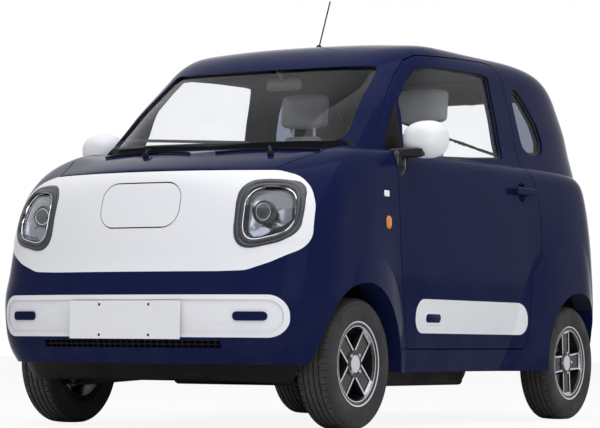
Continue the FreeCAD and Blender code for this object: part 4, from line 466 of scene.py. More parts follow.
def tyre_finish(name, side, tread):
    """Tyre rubber: black side walls and a lighter tread, partly worn, dusty rubber and partly
    painted light taken from a lit tread.
    """
    wire, shader = new_finish(name, Specular_IOR_Level=0.3)
    spot = wire.split(wire.object_place())
    # The whole tread is made lighter than the walls: part wear and dust, part painted light from a
    # lit tread.
    tread_wear_and_light = wire.ramp(wire.flat_length(spot[0], spot[2]), 0.2495, 0.2525)
    patches = wire.ramp(wire.noise(wire.object_place(), 30.0, 5.0), 0.25, 0.75)
    grain = grained(wire, 900.0, 0.25)
    wall = wire.mix(grain["Value"], shade(side, 0.8), shade(side, 1.25))
    top = wire.mix(patches, shade(tread), shade(tread, 0.6))
    wire.onto(shader, Base_Color=wire.mix(tread_wear_and_light, wall, top),
              Roughness=wiped(wire, 0.55, 0.8, 12.0), Normal=grain["Normal"])


# Mesh helpers


def tree_of(*names):
    """The surfaces of named solids, ready to be met by rays."""
    points = []
    faces = []
    for name in names:
        mesh = NODES[name].data
        base = len(points)
        points.extend(vertex.co.copy() for vertex in mesh.vertices)
        faces.extend([base + index for index in face.vertices] for face in mesh.polygons)
    return BVHTree.FromPolygons(points, faces)


def outward_mesh(name, form):
    """A mesh from points and faces, with its doubles merged and its normals outward."""
    points, faces = form
    mesh = bpy.data.meshes.new(name)
    mesh.from_pydata([tuple(point) for point in points], [], faces)
    work = bmesh.new()
    work.from_mesh(mesh)
    bmesh.ops.remove_doubles(work, verts=work.verts, dist=1e-6)
    bmesh.ops.recalc_face_normals(work, faces=work.faces)
    work.to_mesh(mesh)
    work.free()
    return mesh


def finished_mesh(name, form, finish, angle):
    """A mesh with one finish that is smooth up to an angle."""
    mesh = outward_mesh(name, form)
    for face in mesh.polygons:
        face.use_smooth = True
    mesh.set_sharp_from_angle(angle=math.radians(angle))
    mesh.materials.append(FINISHES[finish])
    return mesh


def new_object(name, mesh):
    """An object in the scene."""
    piece = bpy.data.objects.new(name, mesh)
    bpy.context.scene.collection.objects.link(piece)
    return piece


def shape_piece(name, form, finish, body, angle=40.0):
    """A piece from points and faces that rides on a body."""
    piece = new_object(name, finished_mesh(name, form, finish, angle))
    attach(piece, body)
    return piece


def steps(count):
    """Even shares from zero to one."""
    return [index / (count - 1) for index in range(count)]


def eased(t, low, rate):
    """A share that falls off toward both ends of a form."""
    return min(1.0, low + rate * min(t, 1 - t))


def shifted(points, aside, level):
    """Flat points moved by a step."""
    return [(aside + a, level + b) for a, b in points]


def through_rings(rings, first_cap=True, last_cap=True):
    """Points and faces of a skin drawn through rings of equal count."""
    count = len(rings[0])
    points = [point for ring in rings for point in ring]
    faces = []
    for row in range(len(rings) - 1):
        for index in range(count):
            after = (index + 1) % count
            faces.append((row * count + index, row * count + after,
                          (row + 1) * count + after, (row + 1) * count + index))
    if first_cap:
        faces.append(tuple(range(count)))
    if last_cap:
        faces.append(tuple((len(rings) - 1) * count + index for index in range(count)))
    return points, faces


def joined(parts):
    """Several sets of points and faces as one."""
    points = []
    faces = []
    for part_points, part_faces in parts:
        base = len(points)
        points.extend(part_points)
        faces.extend(tuple(base + index for index in face) for face in part_faces)
    return points, faces


def rounded_outline(half_width, half_height, corner, steps=8):
    """A rounded rectangle as a function of how far it is drawn in."""
    def outline(inset):
        wide = max(half_width - inset, 0.0004)
        high = max(half_height - inset, 0.0004)
        bend = min(max(corner - inset, 0.0003), wide, high)
        points = []
        for quarter, (side, up) in enumerate(((1, 1), (-1, 1), (-1, -1), (1, -1))):
            for step in range(steps + 1):
                turn = math.radians(90.0 * quarter + 90.0 * step / steps)
                points.append((side * (wide - bend) + bend * math.cos(turn),
                               up * (high - bend) + bend * math.sin(turn)))
        return points
    return outline


def polygon_outline(corners, bend, steps=8):
    """A polygon with curved corners, as a function of how far it is drawn in."""
    corners = [Vector(corner) for corner in corners]
    points = []
    for index, corner in enumerate(corners):
        before = corners[index - 1] - corner
        after = corners[(index + 1) % len(corners)] - corner
        first = corner + before.normalized() * min(bend, before.length * 0.48)
        last = corner + after.normalized() * min(bend, after.length * 0.48)
        for step in range(steps + 1):
            t = step / steps
            points.append(first * (1 - t) ** 2 + corner * (2 * t * (1 - t)) + last * t * t)
    middle = sum(points, Vector((0, 0))) / len(points)
    reach = sum((point - middle).length for point in points) / len(points)

    def outline(inset):
        return [tuple(middle + (point - middle) * (1 - inset / reach)) for point in points]
    return outline


def skin_ring(cast, outer, inner, profile):
    """A closed band on a skin between two outlines: profile pairs are (share, height)."""
    rings = []
    for share, height in profile:
        ring = []
        for (u0, v0), (u1, v1) in zip(outer, inner):
            point, normal = cast(u0 + (u1 - u0) * share, v0 + (v1 - v0) * share)
            ring.append(point + normal * height)
        rings.append(ring)
    rings.append(rings[0])
    return through_rings(rings, first_cap=False, last_cap=False)


def skin_caster(tree, axis, origin=(0.0, 0.0, 0.0), sign=1.0):
    """Places flat points on a skin: axis 0 from the front or the back, 1 from a side."""
    across = Vector(((0, 1, 0), (1, 0, 0))[axis])
    toward = Vector([-sign if index == axis else 0.0 for index in range(3)])

    def cast(u, v):
        start = Vector(origin) + across * u + Vector((0, 0, v))
        start[axis] = sign * RAY_START
        hit, normal, _, _ = tree.ray_cast(start, toward)
        if hit is None:
            raise RuntimeError("no skin at %.3f, %.3f near %s" % (u, v, tuple(origin)))
        if normal.dot(toward) > 0:
            normal = -normal
        return hit, normal.normalized()
    return cast


def skin_pad(cast, outline, steps, middle=(0.0, 0.0)):
    """A pad that follows a skin: rings drawn in by inset and raised by height."""
    rings = []
    middle_hit, middle_normal = cast(*middle)
    for inset, height in steps:
        ring = []
        for u, v in outline(inset):
            point, normal = cast(u, v)
            lean = (normal * 0.35 + middle_normal * 0.65).normalized()
            ring.append(point + lean * height)
        rings.append(ring)
    return through_rings(rings)


def swept(path, normals, profile, closed=True):
    """A band along a path: profile pairs are (aside, out) in the frame of each point's normal."""
    count = len(path)
    rings = []
    for index in range(count):
        before = path[index - 1] if (closed or index > 0) else path[index]
        after = path[(index + 1) % count] if (closed or index < count - 1) else path[index]
        along = (after - before).normalized()
        out = (normals[index] - along * normals[index].dot(along)).normalized()
        aside = along.cross(out).normalized()
        rings.append([path[index] + aside * a + out * b for a, b in profile])
    if closed:
        rings.append(rings[0])
        return through_rings(rings, first_cap=False, last_cap=False)
    return through_rings(rings)


def tube(path, radius, sides=12):
    """A round rod along a path, with a tapered radius where a list is given."""
    rings = []
    count = len(path)
    up = Vector((0, 0, 1))
    for index, point in enumerate(path):
        along = (path[min(index + 1, count - 1)] - path[max(index - 1, 0)]).normalized()
        first = along.cross(up if abs(along.z) < 0.9 else Vector((1, 0, 0))).normalized()
        second = along.cross(first).normalized()
        size = radius[index] if isinstance(radius, (list, tuple)) else radius
        rings.append([point + (first * math.cos(turn) + second * math.sin(turn)) * size
                      for turn in (math.tau * step / sides for step in range(sides))])
    return through_rings(rings)


def turned(profile, centre, sides, axis):
    """A turned form: profile pairs are (along, radius) about an axis through the centre."""
    rings = []
    for along, radius in profile:
        ring = []
        for step in range(sides):
            turn = math.tau * step / sides
            offset = [radius * math.cos(turn), radius * math.sin(turn)]
            offset.insert(axis, along)
            ring.append(Vector(centre) + Vector(offset))
        rings.append(ring)
    return through_rings(rings)


def smooth_ring(points, passes, spacing):
    """Even points round a closed path, with its small steps smoothed away."""
    points = points + [points[0]]
    lengths = [0.0]
    for first, second in zip(points, points[1:]):
        lengths.append(lengths[-1] + (second - first).length)
    count = max(int(lengths[-1] / spacing), 8)
    even = []
    place = 0
    for step in range(count):
        goal = lengths[-1] * step / count
        while place < len(lengths) - 2 and lengths[place + 1] < goal:
            place += 1
        span = max(lengths[place + 1] - lengths[place], 1e-9)
        even.append(points[place].lerp(points[place + 1], (goal - lengths[place]) / span))
    for _ in range(passes):
        last = even[:]
        for index in range(len(even)):
            even[index] = (last[index - 1] + last[index] * 2 + last[(index + 1) % len(last)]) / 4
    return even


def sharp_loops(node, angle=50.0):
    """Closed loops of the sharp edges of a solid, longest first."""
    work = bmesh.new()
    work.from_mesh(NODES[node].data)
    bmesh.ops.remove_doubles(work, verts=work.verts, dist=2e-5)
    limit = math.radians(angle)
    sharp = [edge for edge in work.edges
             if len(edge.link_faces) == 2 and edge.calc_face_angle(0.0) > limit]
    links = {}
    for edge in sharp:
        for first, second in ((edge.verts[0], edge.verts[1]), (edge.verts[1], edge.verts[0])):
            links.setdefault(first.index, []).append(second.index)
    places = {vertex.index: vertex.co.copy() for vertex in work.verts}
    work.free()
    loops = []
    free = set(links)
    while free:
        start = min(free)
        loop = [start]
        free.discard(start)
        while True:
            ahead = [index for index in links[loop[-1]] if index in free]
            if not ahead:
                break
            loop.append(ahead[0])
            free.discard(ahead[0])
        loops.append([places[index] for index in loop])
    loops.sort(key=lambda loop: -sum((a - b).length for a, b in zip(loop, loop[1:])))
    return loops


# Settings


class MicrocarFinishSettings(bpy.types.PropertyGroup):
    """Colours of the car's finishes."""

    body_colour: FloatVectorProperty(
        name="Body Color", description="Metallic paint of the body", subtype="COLOR",
        size=3, min=0.0, max=1.0, default=(0.0060, 0.0100, 0.0470),
    )
    panel_colour: FloatVectorProperty(
        name="Panel Color", description="Gloss paint of face panel, strips and mirror caps",
        subtype="COLOR", size=3, min=0.0, max=1.0, default=(0.74, 0.75, 0.79),
    )
    glass_colour: FloatVectorProperty(
        name="Glass Tint", description="Tint of the windows", subtype="COLOR",
        size=3, min=0.0, max=1.0, default=(0.97, 0.98, 0.995),
    )
    quarter_glass_colour: FloatVectorProperty(
        name="Quarter Glass Tint", description="Tint of the fixed quarter windows",
        subtype="COLOR", size=3, min=0.0, max=1.0, default=(0.20, 0.23, 0.30),
    )
    seat_colour: FloatVectorProperty(
        name="Seat Color", description="Warp threads of the seat cloth", subtype="COLOR",
        size=3, min=0.0, max=1.0, default=(0.42, 0.43, 0.46),
    )


class MicrocarWheelSettings(bpy.types.PropertyGroup):
    """Sizes of tyres and wheel fittings."""

    groove_depth: FloatProperty(
        name="Groove Depth", description="Depth of the grooves round the tread",
        default=0.006, min=0.002, max=0.009, unit="LENGTH",
    )
    groove_width: FloatProperty(
        name="Groove Width", description="Width of the grooves round the tread",
        default=0.006, min=0.003, max=0.01, unit="LENGTH",
    )
    tread_pitches: IntProperty(
        name="Tread Pitches", description="Blocks round each tyre", default=60, min=40, max=90,
    )
    nut_size: FloatProperty(
        name="Nut Size", description="Width over corners of a wheel nut",
        default=0.017, min=0.01, max=0.025, unit="LENGTH",
    )


class MicrocarTrimSettings(bpy.types.PropertyGroup):
    """Sizes of the small trim."""

    seal_width: FloatProperty(
        name="Seal Width", description="Width of the rubber seals round the windows",
        default=0.014, min=0.004, max=0.03, unit="LENGTH",
    )
    seal_height: FloatProperty(
        name="Seal Height", description="How far the seals stand over the glass",
        default=0.002, min=0.0005, max=0.006, unit="LENGTH",
    )
    wiper_length: FloatProperty(
        name="Wiper Length", description="Length of a wiper blade", default=0.45, min=0.3,
        max=0.6, unit="LENGTH",
    )
    plump_cap: FloatProperty(
        name="Cushion Swell", description="Most that seat cloth swells out from its pattern",
        default=0.014, min=0.0, max=0.03, unit="LENGTH",
    )


class MicrocarStageSettings(bpy.types.PropertyGroup):
    """Light and camera."""

    lens: FloatProperty(
        name="Focal Length", description="Focal length of the camera on a 36 mm sensor",
        default=151.494, min=50.0, max=300.0,
    )
    key_power: FloatProperty(
        name="Key Power", description="Power of the large lamp over the car", default=225.0,
        min=0.0, unit="POWER",
    )
    side_power: FloatProperty(
        name="Side Power", description="Power of the lamp beside the camera", default=110.0,
        min=0.0, unit="POWER",
    )
    sky_strength: FloatProperty(
        name="Sky Strength", description="Even light from all around", default=0.5, min=0.0,
        max=2.0,
    )


# Operators


def dress(finish, *names):
    """Gives named solids one finish."""
    for name in names:
        mesh = NODES[name].data
        mesh.materials.clear()
        mesh.materials.append(FINISHES[finish])


class MICROCAR_OT_finishes(bpy.types.Operator):
    """Build the shader groups and the materials"""

    bl_idname = "microcar.finishes"
    bl_label = "Build Finishes"

    def execute(self, context):
        look = context.scene.microcar_finish
        GROUPS["flake"] = paint_flake_group()
        GROUPS["dust"] = road_dust_group()
        GROUPS["grain"] = grain_group()
        GROUPS["weave"] = weave_group()
        GROUPS["gloss"] = smudge_group()
        navy = tuple(look.body_colour)
        body_paint("Navy_Paint", navy, 0.5, 0.10)
        shell_paint("Navy_Shell", navy, (0.020, 0.024, 0.042))
        body_paint("White_Paint", tuple(look.panel_colour), 0.05, 0.12)
        moulded("Black_Plastic", (0.005, 0.005, 0.006), 0.4, 0.6, 600.0, 0.3, 0.03, 0.4, 0.08)
        moulded("Gloss_Black", (0.005, 0.005, 0.007), 0.08, 0.16, 300.0, 0.05, specular=0.25)
        moulded("Lamp_Bezel", (0.016, 0.018, 0.030), 0.22, 0.34, 500.0, 0.08, specular=0.5)
        moulded("Cabin_Plastic", (0.016, 0.018, 0.026), 0.45, 0.65, 420.0, 0.5)
        moulded("Grey_Trim", (0.14, 0.14, 0.15), 0.5, 0.7, 420.0, 0.4)
        moulded("Underbody", (0.010, 0.010, 0.011), 0.5, 0.75, 160.0, 0.5, 0.15, 0.8, 0.2)
        moulded("Seal_Rubber", (0.010, 0.010, 0.011), 0.5, 0.7, 900.0, 0.3)
        moulded("Repeater_White", (0.78, 0.79, 0.82), 0.12, 0.2, 300.0, 0.05)
        moulded("Amber_Lens", (0.62, 0.20, 0.02), 0.08, 0.14, 150.0, 0.3)
        moulded("Red_Lens", (0.30, 0.006, 0.008), 0.06, 0.12, 150.0, 0.2)
        moulded("Screen_Glass", (0.004, 0.005, 0.008), 0.03, 0.08, 200.0, 0.02, specular=0.6)
        plate_finish("Plate_White", (0.76, 0.77, 0.80))
        metal("Chrome", (0.62, 0.64, 0.68), 0.05, 0.12, 200.0)
        metal("Lamp_Mirror", (0.20, 0.215, 0.25), 0.10, 0.18, 200.0)
        metal("Bright_Steel", (0.42, 0.43, 0.45), 0.25, 0.4, 500.0)
        metal("Mirror_Face", (0.80, 0.82, 0.85), 0.0, 0.02, 100.0)
        glazing("Window_Glass", tuple(look.glass_colour), 0.02)
        glazing("Quarter_Glass", tuple(look.quarter_glass_colour), 0.02)
        glazing("Lamp_Lens", (0.97, 0.98, 1.0), 0.015, 1.3)
        seat = tuple(look.seat_colour)
        cloth("Seat_Cloth", seat, tuple(part * 0.82 for part in seat))
        rim_finish("Rim_Cast", (0.012, 0.012, 0.015), (0.66, 0.67, 0.70), (0.20, 0.19, 0.18))
        # The tread tone is partly worn, dusty rubber and partly painted light from a lit tread.
        tyre_finish("Tyre_Rubber", (0.019, 0.019, 0.021), (0.050, 0.048, 0.046))
        return {"FINISHED"}


class MICROCAR_OT_paint(bpy.types.Operator):
    """Paint the body skins and panels"""

    bl_idname = "microcar.paint"
    bl_label = "Paint Body"

    def execute(self, context):
        dress("Navy_Shell", "side_left", "side_right", "door_left", "door_right", "roof_panel",
              "tailgate")
        dress("Navy_Paint", "fenders", "front_bumper", "rear_bumper", "bonnet")
        dress("White_Paint", "face_panel", "front_strip", "rear_strip", "charge_lid",
              "door_strip_left", "door_strip_right")
        dress("Black_Plastic", "mirror_left", "mirror_right", "cowl", "front_frame", "grille",
              "air_dam", "arch_liners", "front_shelf", "antenna")
        dress("Plate_White", "plate_holder")
        dress("Mirror_Face", "mirror_glass_left", "mirror_glass_right")
        dress("Underbody", "floor_pan", "battery_box", "front_suspension", "rear_axle",
              "knuckle_left", "knuckle_right")
        dress("Bright_Steel", "steering_rack")
        dress("Cabin_Plastic", "dashboard", "seat_plinths", "steering_wheel")
        dress("Seal_Rubber", "buffers")
        return {"FINISHED"}


class MICROCAR_OT_glaze(bpy.types.Operator):
    """Glaze the windows and fit their seals"""

    bl_idname = "microcar.glaze"
    bl_label = "Glaze Windows"

    def execute(self, context):
        trim = context.scene.microcar_trim
        dress("Window_Glass", "windscreen", "tailgate_glass", "door_glass_left",
              "door_glass_right")
        dress("Quarter_Glass", "quarter_glasses")
        plans = (
            ("windscreen", "body_shell", (1, 0, 0.5), "", 1.2),
            ("tailgate_glass", "tailgate", (-1, 0, 0.3), "", 1.0),
            ("door_glass_left", "door_left", (0, 1, 0), "", 1.0),
            ("door_glass_right", "door_right", (0, -1, 0), "", 1.0),
            ("quarter_glasses", "body_shell", (0, 1, 0), "_1", 1.9),
            ("quarter_glasses", "body_shell", (0, -1, 0), "_2", 1.9),
        )
        for node, body, outward, ending, width in plans:
            half = trim.seal_width * width / 2
            form = self.seal(node, Vector(outward).normalized(), half, trim.seal_height)
            shape_piece("seal_" + node + ending, form, "Seal_Rubber", body, 50.0)
        for side, sign in SIDES:
            cast = skin_caster(tree_of("door_" + side), 1, sign=sign)
            form = skin_pad(cast, polygon_outline(SAIL, 0.02),
                            ((0, -0.001), (0, 0.0012), (0.002, 0.002)), (0.53, 1.18))
            shape_piece("sail_" + side, form, "Black_Plastic", "door_" + side)
        return {"FINISHED"}

    def seal(self, node, out, half, high):
        """A rubber band along the rim of a window, on the side that faces out."""
        loops = [loop for loop in sharp_loops(node) if len(loop) > 12]
        if not loops:
            raise RuntimeError("no rim found round " + node)
        loop = max(loops, key=lambda one: sum(point.dot(out) for point in one) / len(one))
        path = smooth_ring(loop, 2, 0.012)
        tree = tree_of(node)
        centre = sum(path, Vector()) / len(path)
        normals = []
        for point in path:
            inner = point + (centre - point).normalized() * 0.03
            hit, normal, _, _ = tree.ray_cast(inner + out * 0.3, -out)
            if hit is None:
                normal = out
            normals.append((normal if normal.dot(out) > 0 else -normal).normalized())
        profile = ((-half, -high), (-half, high * 0.4), (-half * 0.7, high),
                   (half * 0.6, high), (half, high * 0.3), (half, -high))
        return swept(path, normals, profile)


class MICROCAR_OT_lamps(bpy.types.Operator):
    """Fit head lamps, tail lamps, repeaters and side lamps"""

    bl_idname = "microcar.lamps"
    bl_label = "Fit Lamps"

    def execute(self, context):
        dress("Lamp_Bezel", "headlamps")
        dress("Lamp_Lens", "headlamp_lenses")
        dress("Red_Lens", "tail_lamps")
        lamp_tree = tree_of("headlamps", "headlamp_lenses", "face_panel")
        for side, sign in SIDES:
            self.head_lamp(side, sign, lamp_tree)
            self.tail_lamp(side, sign)
        for side, sign in SIDES:
            skin = tree_of("fenders", "side_" + side)
            for name, spot, outline, rise, finish, slot in (
                ("repeater_", (0.751, 0.0, 0.921), rounded_outline(0.022, 0.012, 0.006),
                 ((0, -0.001), (0, 0.0012), (0.0012, 0.0024), (0.006, 0.003)),
                 "Repeater_White", "white_paint"),
                ("side_lamp_", (0.739, 0.0, 0.808), rounded_outline(0.021, 0.026, 0.018),
                 ((0, -0.001), (0, 0.002), (0.002, 0.005), (0.008, 0.0075), (0.014, 0.008)),
                 "Amber_Lens", "lamp_lens"),
            ):
                form = skin_pad(skin_caster(skin, 1, spot, sign), outline, rise)
                shape_piece(name + side, form, finish, "body_shell")
        return {"FINISHED"}

    def tail_lamp(self, side, sign):
        """A raised rim and a pale reversing window on a tail lamp."""
        cast = skin_caster(tree_of("tail_lamps"), 0, sign=-1.0)
        vertices = NODES["tail_lamps"].data.vertices
        spots = [vertex.co for vertex in vertices if vertex.co.y * sign > 0]
        inner = min(abs(spot.y) for spot in spots)
        outer = max(abs(spot.y) for spot in spots)
        low = min(spot.z for spot in spots)
        high = max(spot.z for spot in spots)
        middle = sign * (inner + 0.42 * (outer - inner))
        level = (low + high) / 2
        wide, tall = 0.26 * (outer - inner), 0.36 * (high - low)
        outline = rounded_outline(wide, tall, 0.018)
        form = skin_ring(cast, shifted(outline(0.0), middle, level),
                         shifted(outline(0.006), middle, level),
                         ((0.0, -0.001), (0.2, 0.0015), (0.8, 0.0015), (1.0, -0.001)))
        shape_piece("tail_rim_" + side, form, "Red_Lens", "body_shell", 60.0)
        window = rounded_outline(wide - 0.014, 0.22 * tall, 0.010)(0.0)
        foot = level - 0.5 * tall

        def drawn_in(inset):
            return [(middle + a * (1 - inset / wide), foot + b) for a, b in window]
        form = skin_pad(cast, drawn_in, ((0, -0.001), (0.001, 0.001), (0.004, 0.0014)),
                        (middle, foot))
        shape_piece("reverse_lamp_" + side, form, "Repeater_White", "body_shell",
                    60.0)

    def head_lamp(self, side, sign, tree):
        """A raised frame, a bright ring and a fluted reflector with its bulb hood."""
        cast = skin_caster(tree, 0)
        frame_line = self.lamp_line(LAMP_FRAME, 0.100, sign)
        lens_line = self.lamp_line(LAMP_LENS, 0.078, sign)
        form = skin_ring(cast, frame_line, lens_line, (
            (0.03, -0.002), (0.03, 0.002), (0.12, 0.004), (0.34, 0.0045), (0.46, 0.002),
            (0.52, 0.0006), (0.58, 0.002), (0.66, 0.0035), (0.90, 0.003), (0.98, 0.001),
            (0.98, -0.001)))
        shape_piece("lamp_frame_" + side, form, "Lamp_Bezel", "body_shell", 60.0)
        middle = Vector((sum(p[0] for p in lens_line), sum(p[1] for p in lens_line)))
        middle /= len(lens_line)
        inner = [tuple(middle + (Vector(p) - middle) * 0.955) for p in lens_line]
        form = skin_ring(cast, lens_line, inner, (
            (0.0, -0.001), (0.1, 0.0022), (0.5, 0.0030), (0.9, 0.0022), (1.0, -0.001)))
        shape_piece("lamp_ring_" + side, form, "Chrome", "body_shell", 60.0)
        rings = []
        for share, depth in ((0.96, 0.017), (0.92, 0.026), (0.84, 0.034), (0.72, 0.041),
                             (0.56, 0.046), (0.38, 0.049), (0.20, 0.050)):
            flute_height = FLUTE_HEIGHT if share < 0.95 else 0.0
            ring = []
            for p in inner:
                spot = middle + (Vector(p) - middle) * share
                point, normal = cast(spot.x, spot.y)
                flute = flute_height * math.sin(spot.x * math.tau / FLUTE_PITCH)
                ring.append(point - normal * (depth + flute))
            rings.append(ring)
        form = through_rings(rings, first_cap=False)
        shape_piece("lamp_reflector_" + side, form, "Lamp_Mirror", "body_shell",
                    30.0)
        hub, _ = cast(middle.x - sign * 0.030, middle.y)
        form = turned(((-0.047, 0.043), (-0.022, 0.043), (-0.0205, 0.0415), (-0.0205, 0.038),
                       (-0.026, 0.036), (-0.028, 0.030), (-0.024, 0.015), (-0.0225, 0.003)),
                      hub, 40, 0)
        shape_piece("lamp_hood_" + side, form, "Lamp_Bezel", "body_shell")
        form = turned(((-0.028, 0.0325), (-0.0195, 0.0325), (-0.0190, 0.0310),
                       (-0.0195, 0.0295), (-0.028, 0.0295)), hub, 40, 0)
        shape_piece("lamp_eye_" + side, form, "Chrome", "body_shell")

    def lamp_line(self, corners, bend, sign):
        """The lamp's outline on one side of the car."""
        return [(sign * u, v) for u, v in polygon_outline(corners, bend)(0.0)]


class MICROCAR_OT_wheels(bpy.types.Operator):
    """Fit treaded tyres and finish the wheels"""

    bl_idname = "microcar.wheels"
    bl_label = "Fit Wheels"

    def execute(self, context):
        setting = context.scene.microcar_wheel
        mesh = finished_mesh("tyre_with_tread", self.tyre(setting), "Tyre_Rubber", 38.0)
        for axle, hub_x in AXLES:
            for side, sign in SIDES:
                where = "%s_%s" % (axle, side)
                dress("Rim_Cast", "rim_" + where)
                piece = new_object("tread_" + where, mesh)
                piece.location = (hub_x, sign * WHEEL_PLANE, HUB_HEIGHT)
                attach(piece, "wheel_" + where)
                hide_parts("tyre_" + where)
                form = joined([self.nut(hub_x, sign, turn, axle, setting.nut_size)
                               for turn in range(4)])
                shape_piece("nuts_" + where, form, "Bright_Steel", "wheel_" + where,
                            30.0)
        return {"FINISHED"}

    def tyre_section(self, setting):
        """The tyre's section from wall to wall: place across, radius and kind."""
        half = setting.groove_width / 2
        tread = [(TREAD_HALF_WIDTH, "edge"), (SHOULDER, "edge")]
        for groove in TREAD_GROOVES:
            tread.extend(((groove + half, "top"), (groove + half * 0.7, "groove"),
                          (groove - half * 0.7, "groove"), (groove - half, "top")))
        tread.extend(((-SHOULDER, "edge"), (-TREAD_HALF_WIDTH, "edge")))
        section = [(across, radius, "wall") for across, radius in TYRE_WALL]
        for across, kind in tread:
            radius = TREAD_RADIUS - TREAD_CROWN * (across / TREAD_HALF_WIDTH) ** 2
            if kind == "groove":
                radius -= setting.groove_depth
            section.append((across, radius, kind))
        section.extend((-across, radius, "wall") for across, radius in reversed(TYRE_WALL))
        return section

    def tyre(self, setting):
        """One tyre: ribs, sipes, shoulders and side walls."""
        section = self.tyre_section(setting)
        rings = []
        for pitch in range(setting.tread_pitches):
            for station in (0.0, 0.03, 0.12, 0.15, 0.5, 0.53, 0.62, 0.65):
                turn = math.tau * (pitch + station) / setting.tread_pitches
                ring = []
                for across, radius, kind in section:
                    size = radius - self.sipe(across, radius, kind, station)
                    ring.append(Vector((size * math.cos(turn), across, size * math.sin(turn))))
                rings.append(ring)
        rings.append(rings[0])
        return through_rings(rings, first_cap=False, last_cap=False)

    def sipe(self, across, radius, kind, station):
        """How deep the tread is cut at one place of a pitch."""
        if kind == "edge" and station in (0.03, 0.12):
            return 0.0035
        if kind == "top" and abs(across) > 0.02 and station in (0.53, 0.62):
            return 0.0025
        if kind == "wall" and 0.240 < radius < 0.2515 and station in (0.03, 0.12):
            return 0.0022
        return 0.0

    def nut(self, hub_x, sign, turn, axle, size):
        """A hexagon nut on its seat in the hub ring."""
        start = NUT_START[axle]
        angle = math.radians((-start if sign > 0 else 180.0 + start) + 90.0 * turn)
        centre = Vector((hub_x + NUT_CIRCLE * math.cos(angle), sign * WHEEL_PLANE,
                         HUB_HEIGHT + NUT_CIRCLE * math.sin(angle)))
        rings = []
        for along, share in ((0.0495, 0.56), (0.0515, 0.54), (0.0518, 0.5), (0.0570, 0.5),
                             (0.0582, 0.42)):
            ring = []
            for step in range(6):
                corner = angle + math.radians(60.0 * step)
                ring.append(centre + Vector((size * share * math.cos(corner), sign * along,
                                             size * share * math.sin(corner))))
            rings.append(ring)
        return through_rings(rings)


